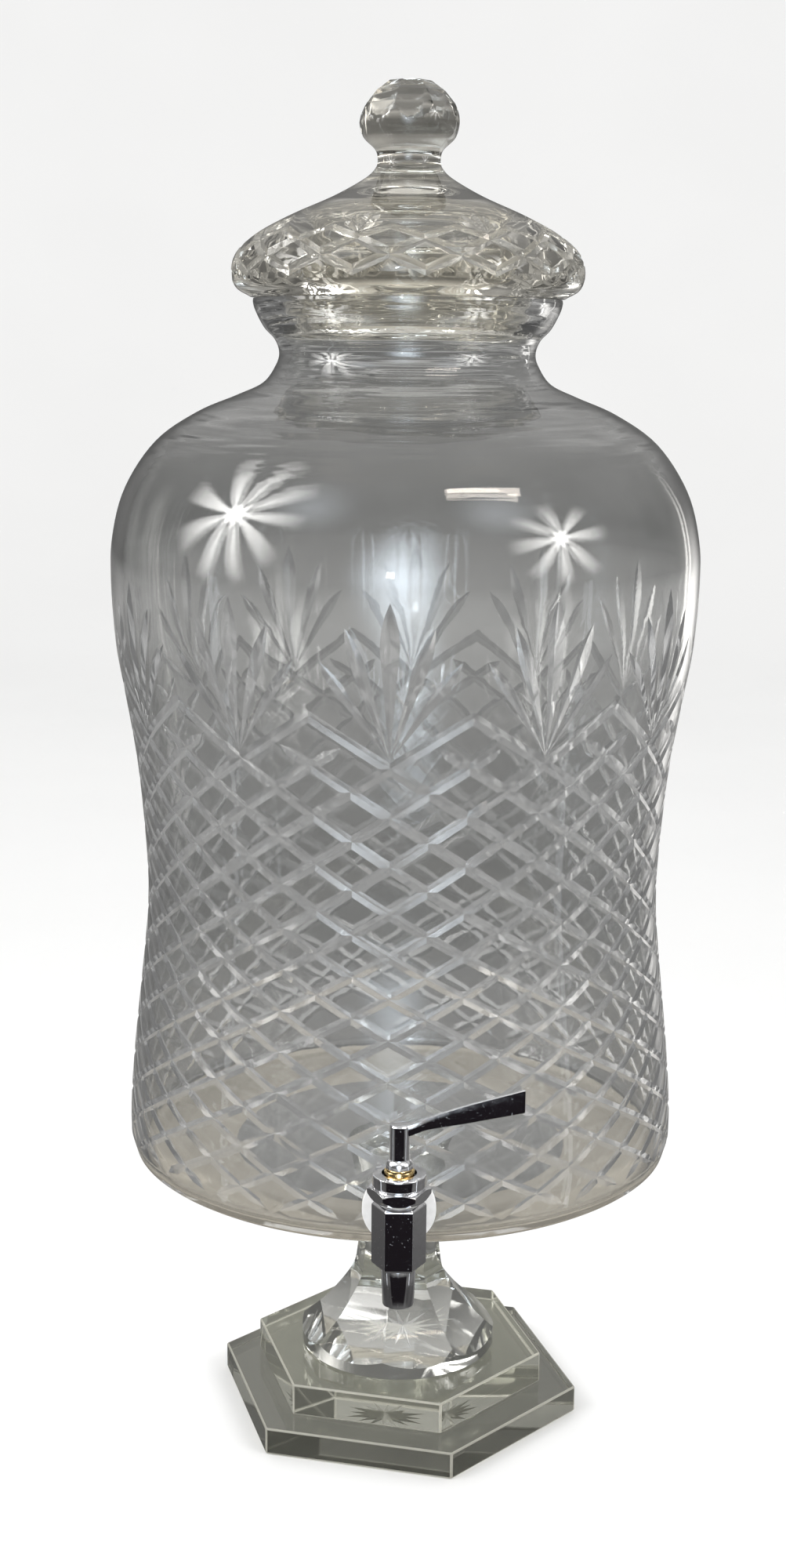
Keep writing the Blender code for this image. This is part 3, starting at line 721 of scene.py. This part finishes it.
OUT_OF_JAR = Matrix.Translation((0, 0, SHANK_Z)) @ Matrix.Rotation(pi / 2, 4, "X")


def bore(name, radius, bottom, top):
    """An upright hole on the spigot's axis."""
    return "DIFFERENCE", rod(name, radius, bottom, top, AT_SPIGOT)


def build_spigot_body(looks):
    body = hex_bar("spigot_body_chrome", BODY_FLAT, BODY_BOTTOM, BODY_TOP, looks, AT_SPIGOT,
                   chamfer=1.2 * MM, soft=0.25 * MM)
    axis = -SPIGOT_Y
    shoulder = [*in_metres((0, 130.8), (10.4, 130.8), (10.8, 130.4)),
                (10.8 * MM, SHOULDER_BACK), (0, SHOULDER_BACK)]
    cut_with(
        body,
        ("UNION", along_shank(127 * MM, axis - BODY_FLAT + PAST, 9 * MM, "boss")),
        ("UNION", turned("shoulder", shoulder, place=OUT_OF_JAR, closed=False)),
        ("UNION", along_shank(SHANK_END, 129 * MM, SHANK_RADIUS, "shank")),
        bore("chamber", CHAMBER_RADIUS, CHAMBER_FLOOR, BODY_TOP + PAST),
        bore("outlet", OUTLET_BORE, SOCKET_TOP - MM, CHAMBER_FLOOR + MM),
        bore("socket", SOCKET_RADIUS, BODY_BOTTOM - PAST, SOCKET_TOP),
        ("DIFFERENCE", along_shank(SHANK_END - PAST, axis - CHAMBER_RADIUS / 2, INLET_BORE,
                                   "inlet")))
    shade(body, flats=True)
    return body


def build_spout_tube(looks):
    neck = SOCKET_RADIUS - GAP
    shoulder = BODY_BOTTOM - GAP
    rows = [(OUTLET_BORE, SOCKET_TOP - GAP), (neck, SOCKET_TOP - GAP), (neck, shoulder),
            (6.5 * MM, shoulder), (6.8 * MM, shoulder - 0.15 * MM),
            (6.9 * MM, shoulder - 0.5 * MM), (6.3 * MM, SPOUT_END + 0.6 * MM),
            (6.15 * MM, SPOUT_END + 0.2 * MM), (5.8 * MM, SPOUT_END), (4.6 * MM, SPOUT_END),
            (OUTLET_BORE, SPOUT_END + 0.4 * MM)]
    return turned("spout_tube_chrome", rows, looks, place=AT_SPIGOT)


def build_bonnet_nut(looks):
    """A hexagonal nut with a round collar, screwed down into the valve chamber."""
    nut = hex_bar("bonnet_nut_chrome", 11.1 * MM, NUT_BOTTOM, NUT_TOP, looks, AT_SPIGOT)
    envelope = in_metres((0, 167.4), (10.6, 167.4), (10.6, 166.6), (12.9, 165.3), (12.9, 163.8),
                         (10.7, 161.4), (10.7, 160.4), (0, 160.4))
    collar = in_metres((0, 172), (10.3, 172), (10.7, 171.8), (10.9, 171.4), (10.9, 167.6),
                       (10.6, 167.1), (10.3, 166.9), (10.3, 166), (0, 166))
    cut_with(
        nut,
        ("INTERSECT", turned("envelope", envelope, place=AT_SPIGOT, closed=False)),
        ("UNION", turned("collar", collar, place=AT_SPIGOT, closed=False)),
        ("UNION", rod("skirt", CHAMBER_RADIUS - GAP, SKIRT_BOTTOM, NUT_BOTTOM + MM, AT_SPIGOT)),
        bore("seal_bore", 5.6 * MM, SKIRT_BOTTOM - PAST, 160.6 * MM),
        bore("stem_bore", STEM_HOLE, 159.6 * MM, BUSH_BOTTOM + MM),
        bore("bush_bore", CHAMBER_RADIUS, BUSH_BOTTOM - GAP, COLLAR_TOP + PAST))
    shade(nut, flats=True)
    return nut


def build_stem_bush(looks):
    top = HUB_BOTTOM - GAP
    rows = [(STEM_HOLE, top), (BUSH_RADIUS - 0.6 * MM, top),
            (BUSH_RADIUS - 0.2 * MM, top - 0.2 * MM), (BUSH_RADIUS, top - 0.6 * MM),
            (BUSH_RADIUS, BUSH_BOTTOM + 0.3 * MM), (BUSH_RADIUS - 0.3 * MM, BUSH_BOTTOM),
            (STEM_HOLE, BUSH_BOTTOM)]
    return turned("stem_bush_brass", rows, looks, place=AT_SPIGOT)


# (distance out, middle height, half height, half thickness) in mm
BLADE_STATIONS = [
    (0, 189.4, 2.4, 2.4), (4, 190.1, 2.35, 2.3), (7.5, 191.4, 2.3, 2.0), (11, 192.6, 2.5, 1.4),
    (18, 194.5, 3.2, 1.15), (25.5, 196.4, 3.85, 1.1), (36.5, 199.1, 4.4, 1.05),
    (47.6, 201.8, 4.9, 1.0), (48.6, 202.1, 4.8, 0.95), (49, 202.2, 4.5, 0.8)]
BLADE_SIDES = 40
BLADE_STEPS = 4  # sections from one station to the next
BLADE_SQUARENESS = 0.72  # 0 gives oval sections, 1 square ones


def blade_section(bm, out, middle, tall, thick):
    ring = []
    for k in range(BLADE_SIDES):
        angle = 2 * pi * k / BLADE_SIDES
        corner = max(abs(cos(angle)), abs(sin(angle))) ** BLADE_SQUARENESS
        ring.append(bm.verts.new((out * MM, thick * MM * cos(angle) / corner,
                                  (middle + tall * sin(angle) / corner) * MM)))
    return ring


def lever_blade():
    """An arm of rounded sections that flattens as it rises outwards."""
    first, *_, last = stations = BLADE_STATIONS
    bm = bmesh.new()
    rings = [blade_section(bm, *(between(*four, k / BLADE_STEPS) for four in zip(a, b, c, d)))
             for a, b, c, d in zip([first, *stations], stations, stations[1:],
                                   [*stations[2:], last])
             for k in range(BLADE_STEPS + (c is last))]
    join_rings(bm, rings, BLADE_SIDES)
    bm.faces.new(rings[0])
    bm.faces.new(rings[-1])
    return finished("blade", bm, place=AT_SPIGOT)


def build_lever(looks):
    """A domed hub and upright rod, with an arm."""
    top = 192.3 * MM
    hub = [(0, top), (3.2 * MM, top), (3.7 * MM, top - 0.2 * MM), (4 * MM, top - 0.7 * MM),
           *((r * MM, HUB_BOTTOM + z * MM) for r, z in (
               (4, 4.4), (4.15, 3.9), (4.8, 3.4), (5.3, 2.6), (5.5, 1.6), (5.6, 0.5), (5.3, 0),
               (0, 0)))]
    lever = turned("lever_chrome", hub, looks, place=AT_SPIGOT, closed=False)
    bm = bmesh.new()
    low = HUB_BOTTOM - MM
    bmesh.ops.create_cube(bm, size=1.0, matrix=Matrix.Translation(
        (0, SPIGOT_Y, (low + TANG_HOLE_TOP) / 2))
        @ Matrix.Diagonal((2 * TANG_HOLE, 2 * TANG_HOLE, TANG_HOLE_TOP - low, 1.0)))
    socket = finished("tang_socket", bm)
    shade(cut_with(lever, ("UNION", lever_blade()), ("DIFFERENCE", socket)), flats=True)
    return lever


def build_outer_gasket(looks):
    """A soft white ring between the spigot's shoulder and the round of the jar."""
    face, back = 127.6 * MM, JAR_SIDE_RADIUS - 4 * MM
    rows = [(SHANK_HOLE, face), *eased(15.15 * MM, face, 0.5 * MM, -1)[::-1],
            (15.15 * MM, back), (SHANK_HOLE, back)]
    ring = turned("outer_gasket_rubber", rows, looks, place=OUT_OF_JAR)
    wall = [(r + GAP, z) for r, z in jar_outer_line(6) + heel_line()]
    guide = turned("jar_wall", [(0, JAR_TOP), *wall, (0, JAR_BOTTOM)], steps=ROUND_STEPS,
                   closed=False)
    shade(cut_with(ring, ("DIFFERENCE", guide)))
    return ring


# ---- shader nodes
def feed(tree, socket, value):
    """Give a socket another node's output, or a constant."""
    if isinstance(value, bpy.types.NodeSocket):
        tree.links.new(value, socket)
    else:
        socket.default_value = value


def add(tree, kind, **settings):
    """A shader node; a setting names a property or, with spaces as _, a socket."""
    made = tree.nodes.new(f"ShaderNode{kind}")
    for name, value in settings.items():
        if hasattr(made, name):
            setattr(made, name, value)
        else:
            feed(tree, made.inputs[name.replace("_", " ")], value)
    return made


def spread(tree, value, start, end, low=0.0, high=1.0, **settings):
    """Map what lies between two ends to another pair, and hold it there beyond them."""
    return add(tree, "MapRange", Value=value, From_Min=start, From_Max=end, To_Min=low,
               To_Max=high, **settings).outputs["Result"]


def maths(tree, operation, *values):
    made = add(tree, "Math", operation=operation)
    for socket, value in zip(made.inputs, values):
        feed(tree, socket, value)
    return made.outputs[0]


def times(tree, first, second):
    return maths(tree, "MULTIPLY", first, second)


def noise(tree, scale, detail=3.0, low=0.0, high=1.0, start=0.35, end=0.65, stretch=None):
    """Noise in the object's own metres, spread between two values."""
    where = add(tree, "TexCoord").outputs["Object"]
    if stretch:
        where = add(tree, "Mapping", Vector=where, Scale=stretch).outputs["Vector"]
    field = add(tree, "TexNoise", Vector=where, Scale=scale, Detail=detail)
    return spread(tree, field.outputs["Fac"], start, end, low, high)


def blend(tree, share, first, second):
    """A mix of two colours, each a constant or another node's output."""
    mixed = add(tree, "Mix", data_type="RGBA")
    tree.links.new(share, mixed.inputs[0])
    for socket, value in zip(mixed.inputs[6:8], (first, second)):
        feed(tree, socket, value if isinstance(value, bpy.types.NodeSocket) else (*value, 1.0))
    return mixed.outputs[2]


def bump(tree, height, distance, under=None):
    made = add(tree, "Bump", Height=height, Distance=distance, Strength=1.0)
    if under:
        tree.links.new(under, made.inputs["Normal"])
    return made.outputs["Normal"]


def new_look(name, **sockets):
    """A material with one Principled shader, and its node tree."""
    look = bpy.data.materials.new(name)
    look.use_nodes = True
    shader = look.node_tree.nodes["Principled BSDF"]
    for socket, value in sockets.items():
        shader.inputs[socket.replace("_", " ")].default_value = value
    return look, look.node_tree


def dressed(look, colour, roughness, normal=None):
    """A look with these textures on its shader."""
    tree = look.node_tree
    shader = tree.nodes["Principled BSDF"]
    tree.links.new(colour, shader.inputs["Base Color"])
    tree.links.new(roughness, shader.inputs["Roughness"])
    if normal:
        tree.links.new(normal, shader.inputs["Normal"])
    return look


# ---- materials
GLASS_IOR = 1.5


def glass(name, tint, clear=0.98, haze=0.01, streaks=0.10 * MM, neck=0.0, film=0.96,
          grain=0.0012 * MM):
    """Old clear glass: slightly uneven, worn, a little dusty, and ringed at a neck."""
    look, tree = new_look(name, Transmission_Weight=clear, IOR=GLASS_IOR)
    normal = bump(tree, noise(tree, 14, 1, start=0.2, end=0.8), 2 * streaks)
    if neck:
        place = add(tree, "SeparateXYZ", Vector=add(tree, "TexCoord").outputs["Object"])
        share = spread(tree, place.outputs["Z"], neck - 6 * MM, neck + 12 * MM)
        rings = noise(tree, 150, 2, start=0.25, end=0.75, stretch=(0.06, 0.06, 1.0))
        normal = bump(tree, times(tree, rings, share), 0.45 * MM, normal)
    return dressed(look, blend(tree, noise(tree, 22, 4), tint, [c * film for c in tint]),
                   noise(tree, 60, 5, haze, 3 * haze),
                   bump(tree, noise(tree, 900, 2, start=0.3, end=0.7), grain, normal))


def plate_glass(name, clear):
    """Flat clear glass with an even polish and a grey-green film."""
    return glass(name, PLATE_TINT, clear, 0.006, 0.02 * MM, film=0.92, grain=0.0002 * MM)


def ground_cut(name, tint, clear=0.87):
    """The wall of a cut, polished less than the skin and streaked by the wheel."""
    look, tree = new_look(name, Transmission_Weight=clear, IOR=GLASS_IOR)
    paler = [min(1.0, c * 1.06) for c in tint]
    return dressed(look, blend(tree, noise(tree, 120, 3), tint, paler),
                   noise(tree, 180, 4, 0.03, 0.12), bump(tree, noise(tree, 700, 3), 0.006 * MM))


def plating(name, colours, roughness):
    """Plated metal: a mirror with faint waves, hairline wear and dark pits."""
    look, tree = new_look(name, Metallic=1.0)
    pits = noise(tree, 900, 5, 0, 1, 0.66, 0.74)
    wear = noise(tree, 250, 6, roughness, 2.2 * roughness)
    waves = bump(tree, noise(tree, 160, 2), 0.02 * MM)
    return dressed(look, blend(tree, pits, *colours),
                   maths(tree, "MAXIMUM", wear, times(tree, pits, 0.5)),
                   bump(tree, pits, 0.03 * MM, waves))


def moulded(name, colours, roughness):
    """Soft sealing material with a fine matt skin."""
    look, tree = new_look(name)
    return dressed(look, blend(tree, noise(tree, 300, 4), *colours),
                   noise(tree, 500, 3, roughness, roughness + 0.15),
                   bump(tree, noise(tree, 1500, 3), 0.03 * MM))


# ---- the object
# Glass has one colour; metal and rubber have a second one where they are worn.
JAR_TINT = (0.93, 0.935, 0.93)
JAR_CUT_TINT = (0.91, 0.915, 0.915)
HEEL_TINT = (0.96, 0.88, 0.73)
LID_TINT = (0.92, 0.895, 0.82)
LID_CUT_TINT = (0.88, 0.855, 0.78)
FOOT_TINT = (0.87, 0.875, 0.84)
PLATE_TINT = (0.85, 0.855, 0.765)
EDGE_TINT = (0.93, 0.91, 0.80)
CHROME = (0.86, 0.86, 0.88), (0.20, 0.19, 0.19)
STEEL = (0.66, 0.66, 0.67), (0.30, 0.28, 0.26)
BUSH_BRASS = (0.83, 0.62, 0.30), (0.30, 0.20, 0.10)
PLUG_BRASS = (0.78, 0.60, 0.32), (0.36, 0.25, 0.12)
WHITE_RUBBER = (0.93, 0.93, 0.93), (0.86, 0.86, 0.85)
WHITE_SEAL = (0.85, 0.85, 0.83), (0.76, 0.75, 0.72)
BLACK_SEAL = (0.03, 0.03, 0.03), (0.05, 0.05, 0.05)


def build_pieces():
    """The visible pieces by the node that each stands for."""
    chrome = plating("chrome", CHROME, 0.045)
    edge = ground_cut("ground_edge", EDGE_TINT, 0.65)
    return {
        "jar": build_jar([glass("jar_glass", JAR_TINT, neck=438 * MM),
                          ground_cut("jar_cuts", JAR_CUT_TINT),
                          glass("heel_glass", HEEL_TINT, 0.73)]),
        "lid": build_lid([glass("lid_glass", LID_TINT, 0.985),
                          ground_cut("lid_cuts", LID_CUT_TINT, 0.85)]),
        "pedestal": build_pedestal([glass("foot_glass", FOOT_TINT, 0.96, 0.008, 0.05 * MM),
                                    ground_cut("star_cuts", JAR_TINT, 0.7)]),
        "lower_plate": build_plate("lower_plate_glass", LOWER_RADIUS, 0.0, LOWER_TOP,
                                   [plate_glass("lower_plate_glass", 0.93), edge]),
        "upper_plate": build_upper_plate([plate_glass("upper_plate_glass", 0.94), edge]),
        "spigot_body": build_spigot_body([chrome]),
        "spout_tube": build_spout_tube([chrome]),
        "bonnet_nut": build_bonnet_nut([chrome]),
        "stem_bush": build_stem_bush([plating("bush_brass", BUSH_BRASS, 0.09)]),
        "outer_gasket": build_outer_gasket([moulded("white_rubber", WHITE_RUBBER, 0.45)]),
        "lever": build_lever([chrome]),
    }


def dress_hidden_nodes():
    """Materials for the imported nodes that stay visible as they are."""
    finishes = {
        plating("bright_steel", STEEL, 0.18): ("inner_washer", "lock_nut"),
        moulded("seal_white", WHITE_SEAL, 0.4):
            ("valve_seat", "thrust_washer", "bonnet_gasket", "inner_gasket"),
        moulded("seal_black", BLACK_SEAL, 0.5):
            ("stem_o_ring_lower", "stem_o_ring_upper"),
        plating("plug_brass", PLUG_BRASS, 0.14): ("valve_plug",),
    }
    for look, nodes in finishes.items():
        for node in nodes:
            frame["nodes"][node].material_slots[0].material = look


def dress_object():
    pieces = build_pieces()
    body_of = {node: body for body, nodes in
               frame["record"]["behaviour"]["bodies"].items() for node in nodes}
    for node, piece in pieces.items():
        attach(piece, body_of[node])
        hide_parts(node)
    dress_hidden_nodes()
    for node in ("jar", "lid", "pedestal", "upper_plate"):
        pieces[node].visible_shadow = pieces[node].visible_diffuse = False


# ---- stage
STAGE_MIDDLE = Vector((0, 0, 0.3))
WARM_WHITE = (1.0, 0.99, 0.97)
COOL_WHITE = (0.86, 0.93, 1.0)


def toward(turn, rise, distance):
    """A place, facing the object's middle, at a turn and a rise from there in degrees."""
    a, e = radians(turn), radians(rise)
    direction = Vector((sin(a) * cos(e), -cos(a) * cos(e), sin(e)))
    return (Matrix.Translation(STAGE_MIDDLE + distance * direction)
            @ direction.to_track_quat("Z", "Y").to_matrix().to_4x4())


def glow(name, colour, strength, pattern=None):
    """Plain emission, with an optional pattern of its strength."""
    look = bpy.data.materials.new(name)
    look.use_nodes = True
    tree = look.node_tree
    tree.nodes.clear()
    level = pattern(tree, strength) if pattern else strength
    face = add(tree, "Emission", Color=(*colour, 1.0), Strength=level)
    both = add(tree, "AddShader")
    tree.links.new(face.outputs[0], both.inputs[0])
    tree.links.new(add(tree, "BsdfTransparent").outputs[0], both.inputs[1])
    tree.links.new(both.outputs[0], add(tree, "OutputMaterial").inputs["Surface"])
    look.cycles.emission_sampling = "NONE"
    return look


def from_middle(tree):
    """Across and up from a face's middle, and the distance, all 1 at its rim."""
    flat = add(tree, "SeparateXYZ", Vector=add(tree, "TexCoord").outputs["Generated"])
    x, y = (maths(tree, "MULTIPLY_ADD", flat.outputs[axis], 2.0, -1.0) for axis in "XY")
    squares = maths(tree, "ADD", times(tree, x, x), times(tree, y, y))
    return x, y, maths(tree, "POWER", squares, 0.5)


def petals(count):
    """An umbrella lamp: a bright hub and ribbed panels that fade towards a round rim."""
    def pattern(tree, strength):
        x, y, out = from_middle(tree)
        turn = maths(tree, "ARCTAN2", x, y)
        crest = maths(tree, "COSINE", times(tree, turn, float(count)))
        rib = maths(tree, "SUBTRACT", maths(tree, "ADD", crest, 0.95), times(tree, out, 0.9))
        ray = spread(tree, rib, 0.0, 1.1, 0.0, 0.4 * strength, interpolation_type="SMOOTHSTEP")
        fade = spread(tree, out, 1.0, 0.15)
        hub = spread(tree, out, 0.17, 0.03, 0.0, strength)
        return maths(tree, "ADD", hub, times(tree, ray, fade))
    return pattern


def halo(tree, strength):
    """Brightest in the middle and gone at the rim."""
    fade = spread(tree, from_middle(tree)[2], 1.0, 0.0, interpolation_type="SMOOTHSTEP")
    return times(tree, maths(tree, "POWER", fade, 1.5), strength)


def lamp_face(name, turn, rise, distance, size, colour, strength, pattern=None, sides=48,
              roll=0.0):
    """A round or four-sided lamp that only mirrors and glass see."""
    bm = bmesh.new()
    bmesh.ops.create_circle(bm, cap_ends=True, segments=sides, radius=1.0)
    if sides == 4:
        bmesh.ops.rotate(bm, verts=bm.verts, matrix=Matrix.Rotation(pi / 4, 3, "Z"))
        bmesh.ops.scale(bm, verts=bm.verts, vec=(2 ** 0.5, 2 ** 0.5, 1))
    bmesh.ops.scale(bm, verts=bm.verts, vec=(*size, 1))
    face = finished(name, bm, [glow(f"{name}_light", colour, strength, pattern)])
    face.matrix_world = toward(turn, rise, distance) @ Matrix.Rotation(radians(roll), 4, "Z")
    face.visible_camera = face.visible_diffuse = face.visible_shadow = False


def soft_lamp(name, turn, rise, power):
    """An area lamp that lights what is matt; its face shows in nothing."""
    lamp = bpy.data.lights.new(name, "AREA")
    lamp.shape = "DISK"
    lamp.size = 0.9
    lamp.energy = power
    made = linked(name, lamp)
    made.matrix_world = toward(turn, rise, 1.8)
    made.visible_camera = made.visible_glossy = made.visible_transmission = False


BACKDROP = (0.93, 0.93, 0.925)
EVEN_LIGHT = (0.97, 0.97, 0.97)
DARK_FLOOR = (0.012, 0.010, 0.012)
# (sine of the rise, how bright the room is there)
ROOM_BY_RISE = ((-1.0, 0.11), (-0.46, 0.13), (-0.37, 0.25), (-0.25, 0.17), (-0.19, 0.23),
                (-0.14, 0.42), (-0.06, 0.13), (0.15, 0.14), (0.35, 0.28), (0.6, 0.52),
                (1.0, 0.80))


def grey_room(tree):
    """A dim mottled room under a lighter ceiling, with a dark floor in front."""
    direction = add(tree, "TexCoord").outputs["Generated"]
    across, ahead, up = add(tree, "SeparateXYZ", Vector=direction).outputs
    ramp = add(tree, "ValToRGB", Fac=spread(tree, up, -1.0, 1.0))
    stops = ramp.color_ramp.elements
    for sine, _ in ROOM_BY_RISE[1:-1]:
        stops.new((sine + 1) / 2)
    for stop, (_, level) in zip(stops, ROOM_BY_RISE):
        stop.color = (level, 0.992 * level, 0.975 * level, 1.0)
    patches = add(tree, "TexNoise", Vector=direction, Scale=2.3, Detail=3.0)
    uneven = spread(tree, patches.outputs["Fac"], 0.3, 0.7, 0.75, 1.25)
    sided = times(tree, uneven, maths(tree, "ADD", 1.05, times(tree, across, 0.22)))
    lit = add(tree, "VectorMath", operation="SCALE", Scale=sided)
    tree.links.new(ramp.outputs["Color"], lit.inputs[0])
    band = times(tree, spread(tree, up, -0.22, -0.27), spread(tree, up, -0.74, -0.66))
    near = spread(tree, ahead, -0.42, -0.56)
    sides = spread(tree, maths(tree, "ABSOLUTE", across), 0.55, 0.75, 0.0, 0.5)
    dark = times(tree, maths(tree, "MAXIMUM", near, sides), band)
    return blend(tree, dark, lit.outputs["Vector"], DARK_FLOOR)


def build_world():
    """A pale backdrop for the camera, even light for matt things, a grey room for the rest."""
    world = bpy.data.worlds.new("room")
    bpy.context.scene.world = world
    world.use_nodes = True
    tree = world.node_tree
    tree.nodes.clear()
    rays = add(tree, "LightPath").outputs
    seen = blend(tree, rays["Is Diffuse Ray"], grey_room(tree), EVEN_LIGHT)
    seen = blend(tree, rays["Is Camera Ray"], seen, BACKDROP)
    back = add(tree, "Background", Color=seen)
    tree.links.new(back.outputs[0], add(tree, "OutputWorld").inputs["Surface"])


def build_floor():
    """A pale floor that curves up into a wall all round; only the camera sees it."""
    flat, wall, height = 2.2, 3.6, 6.0
    bend = wall - flat
    rows = [(wall, height), *arc((flat, bend), (bend, bend), 0, -90, 9), (0, 0)]
    bm = bmesh.new()
    spin_rows(bm, [(r, z - GAP) for r, z in rows], steps=96)
    look, tree = new_look("floor_paper", Specular_IOR_Level=0.1)
    dressed(look, blend(tree, noise(tree, 3, 3), BACKDROP, (0.915, 0.915, 0.91)),
            noise(tree, 40, 3, 0.7, 0.85))
    floor = finished("floor", bm, [look], sharp=60)
    floor.visible_diffuse = floor.visible_glossy = floor.visible_transmission = False
    floor.visible_shadow = False


def build_stage():
    bpy.context.scene.view_settings.view_transform = "Standard"
    build_world()
    build_floor()
    # name, turn, rise, distance, half width and height, colour, strength, pattern, sides, roll
    for lamp in (
            ("umbrella_left", -72, 30, 1.6, (0.80, 1.05), WARM_WHITE, 28, petals(9)),
            ("umbrella_right", 61, 21, 1.7, (0.66, 0.66), WARM_WHITE, 24, petals(8)),
            ("flash", -5, 9, 1.6, (0.035, 0.045), (0.85, 0.93, 1.0), 40, None, 4),
            ("flash_halo", -3, 6, 1.7, (0.72, 0.85), (0.8, 0.9, 1.0), 7, halo),
            ("front_left", -42, 42, 1.8, (0.7, 0.7), COOL_WHITE, 2, halo),
            ("front_right", 40, 40, 1.8, (0.7, 0.7), COOL_WHITE, 2, halo),
            ("back_right", 146, -8, 1.8, (0.5, 0.6), (1.0, 0.98, 0.95), 1.2, halo),
            ("rod_left", -74, -14, 1.3, (0.022, 0.40), (0.9, 0.95, 1.0), 1.6, None, 4),
            ("rod_right", 70, -14, 1.3, (0.022, 0.40), (0.9, 0.95, 1.0), 1.6, None, 4),
            ("side_right", 138, 2, 1.7, (0.07, 0.8), (1.0, 0.98, 0.94), 2.6, halo),
            ("strip", 40, 52, 2.0, (0.40, 0.06), (1.0, 0.9, 0.8), 12, None, 4, -16)):
        lamp_face(*lamp)
    soft_lamp("soft_left", -60, 40, 9)
    soft_lamp("soft_right", 55, 35, 7)


def build_camera():
    lens = bpy.data.cameras.new("camera")
    lens.lens = 47.78
    lens.sensor_width = 36
    camera = linked("camera", lens)
    camera.matrix_world = (Matrix.Translation((0, -0.9207, 0.4898))
                           @ Matrix.Rotation(radians(0.285), 4, "Z")
                           @ Matrix.Rotation(radians(90 - 11.84), 4, "X")
                           @ Matrix.Rotation(radians(0.5), 4, "Z"))
    bpy.context.scene.camera = camera


dress_object()
build_stage()
build_camera()
bpy.context.view_layer.update()
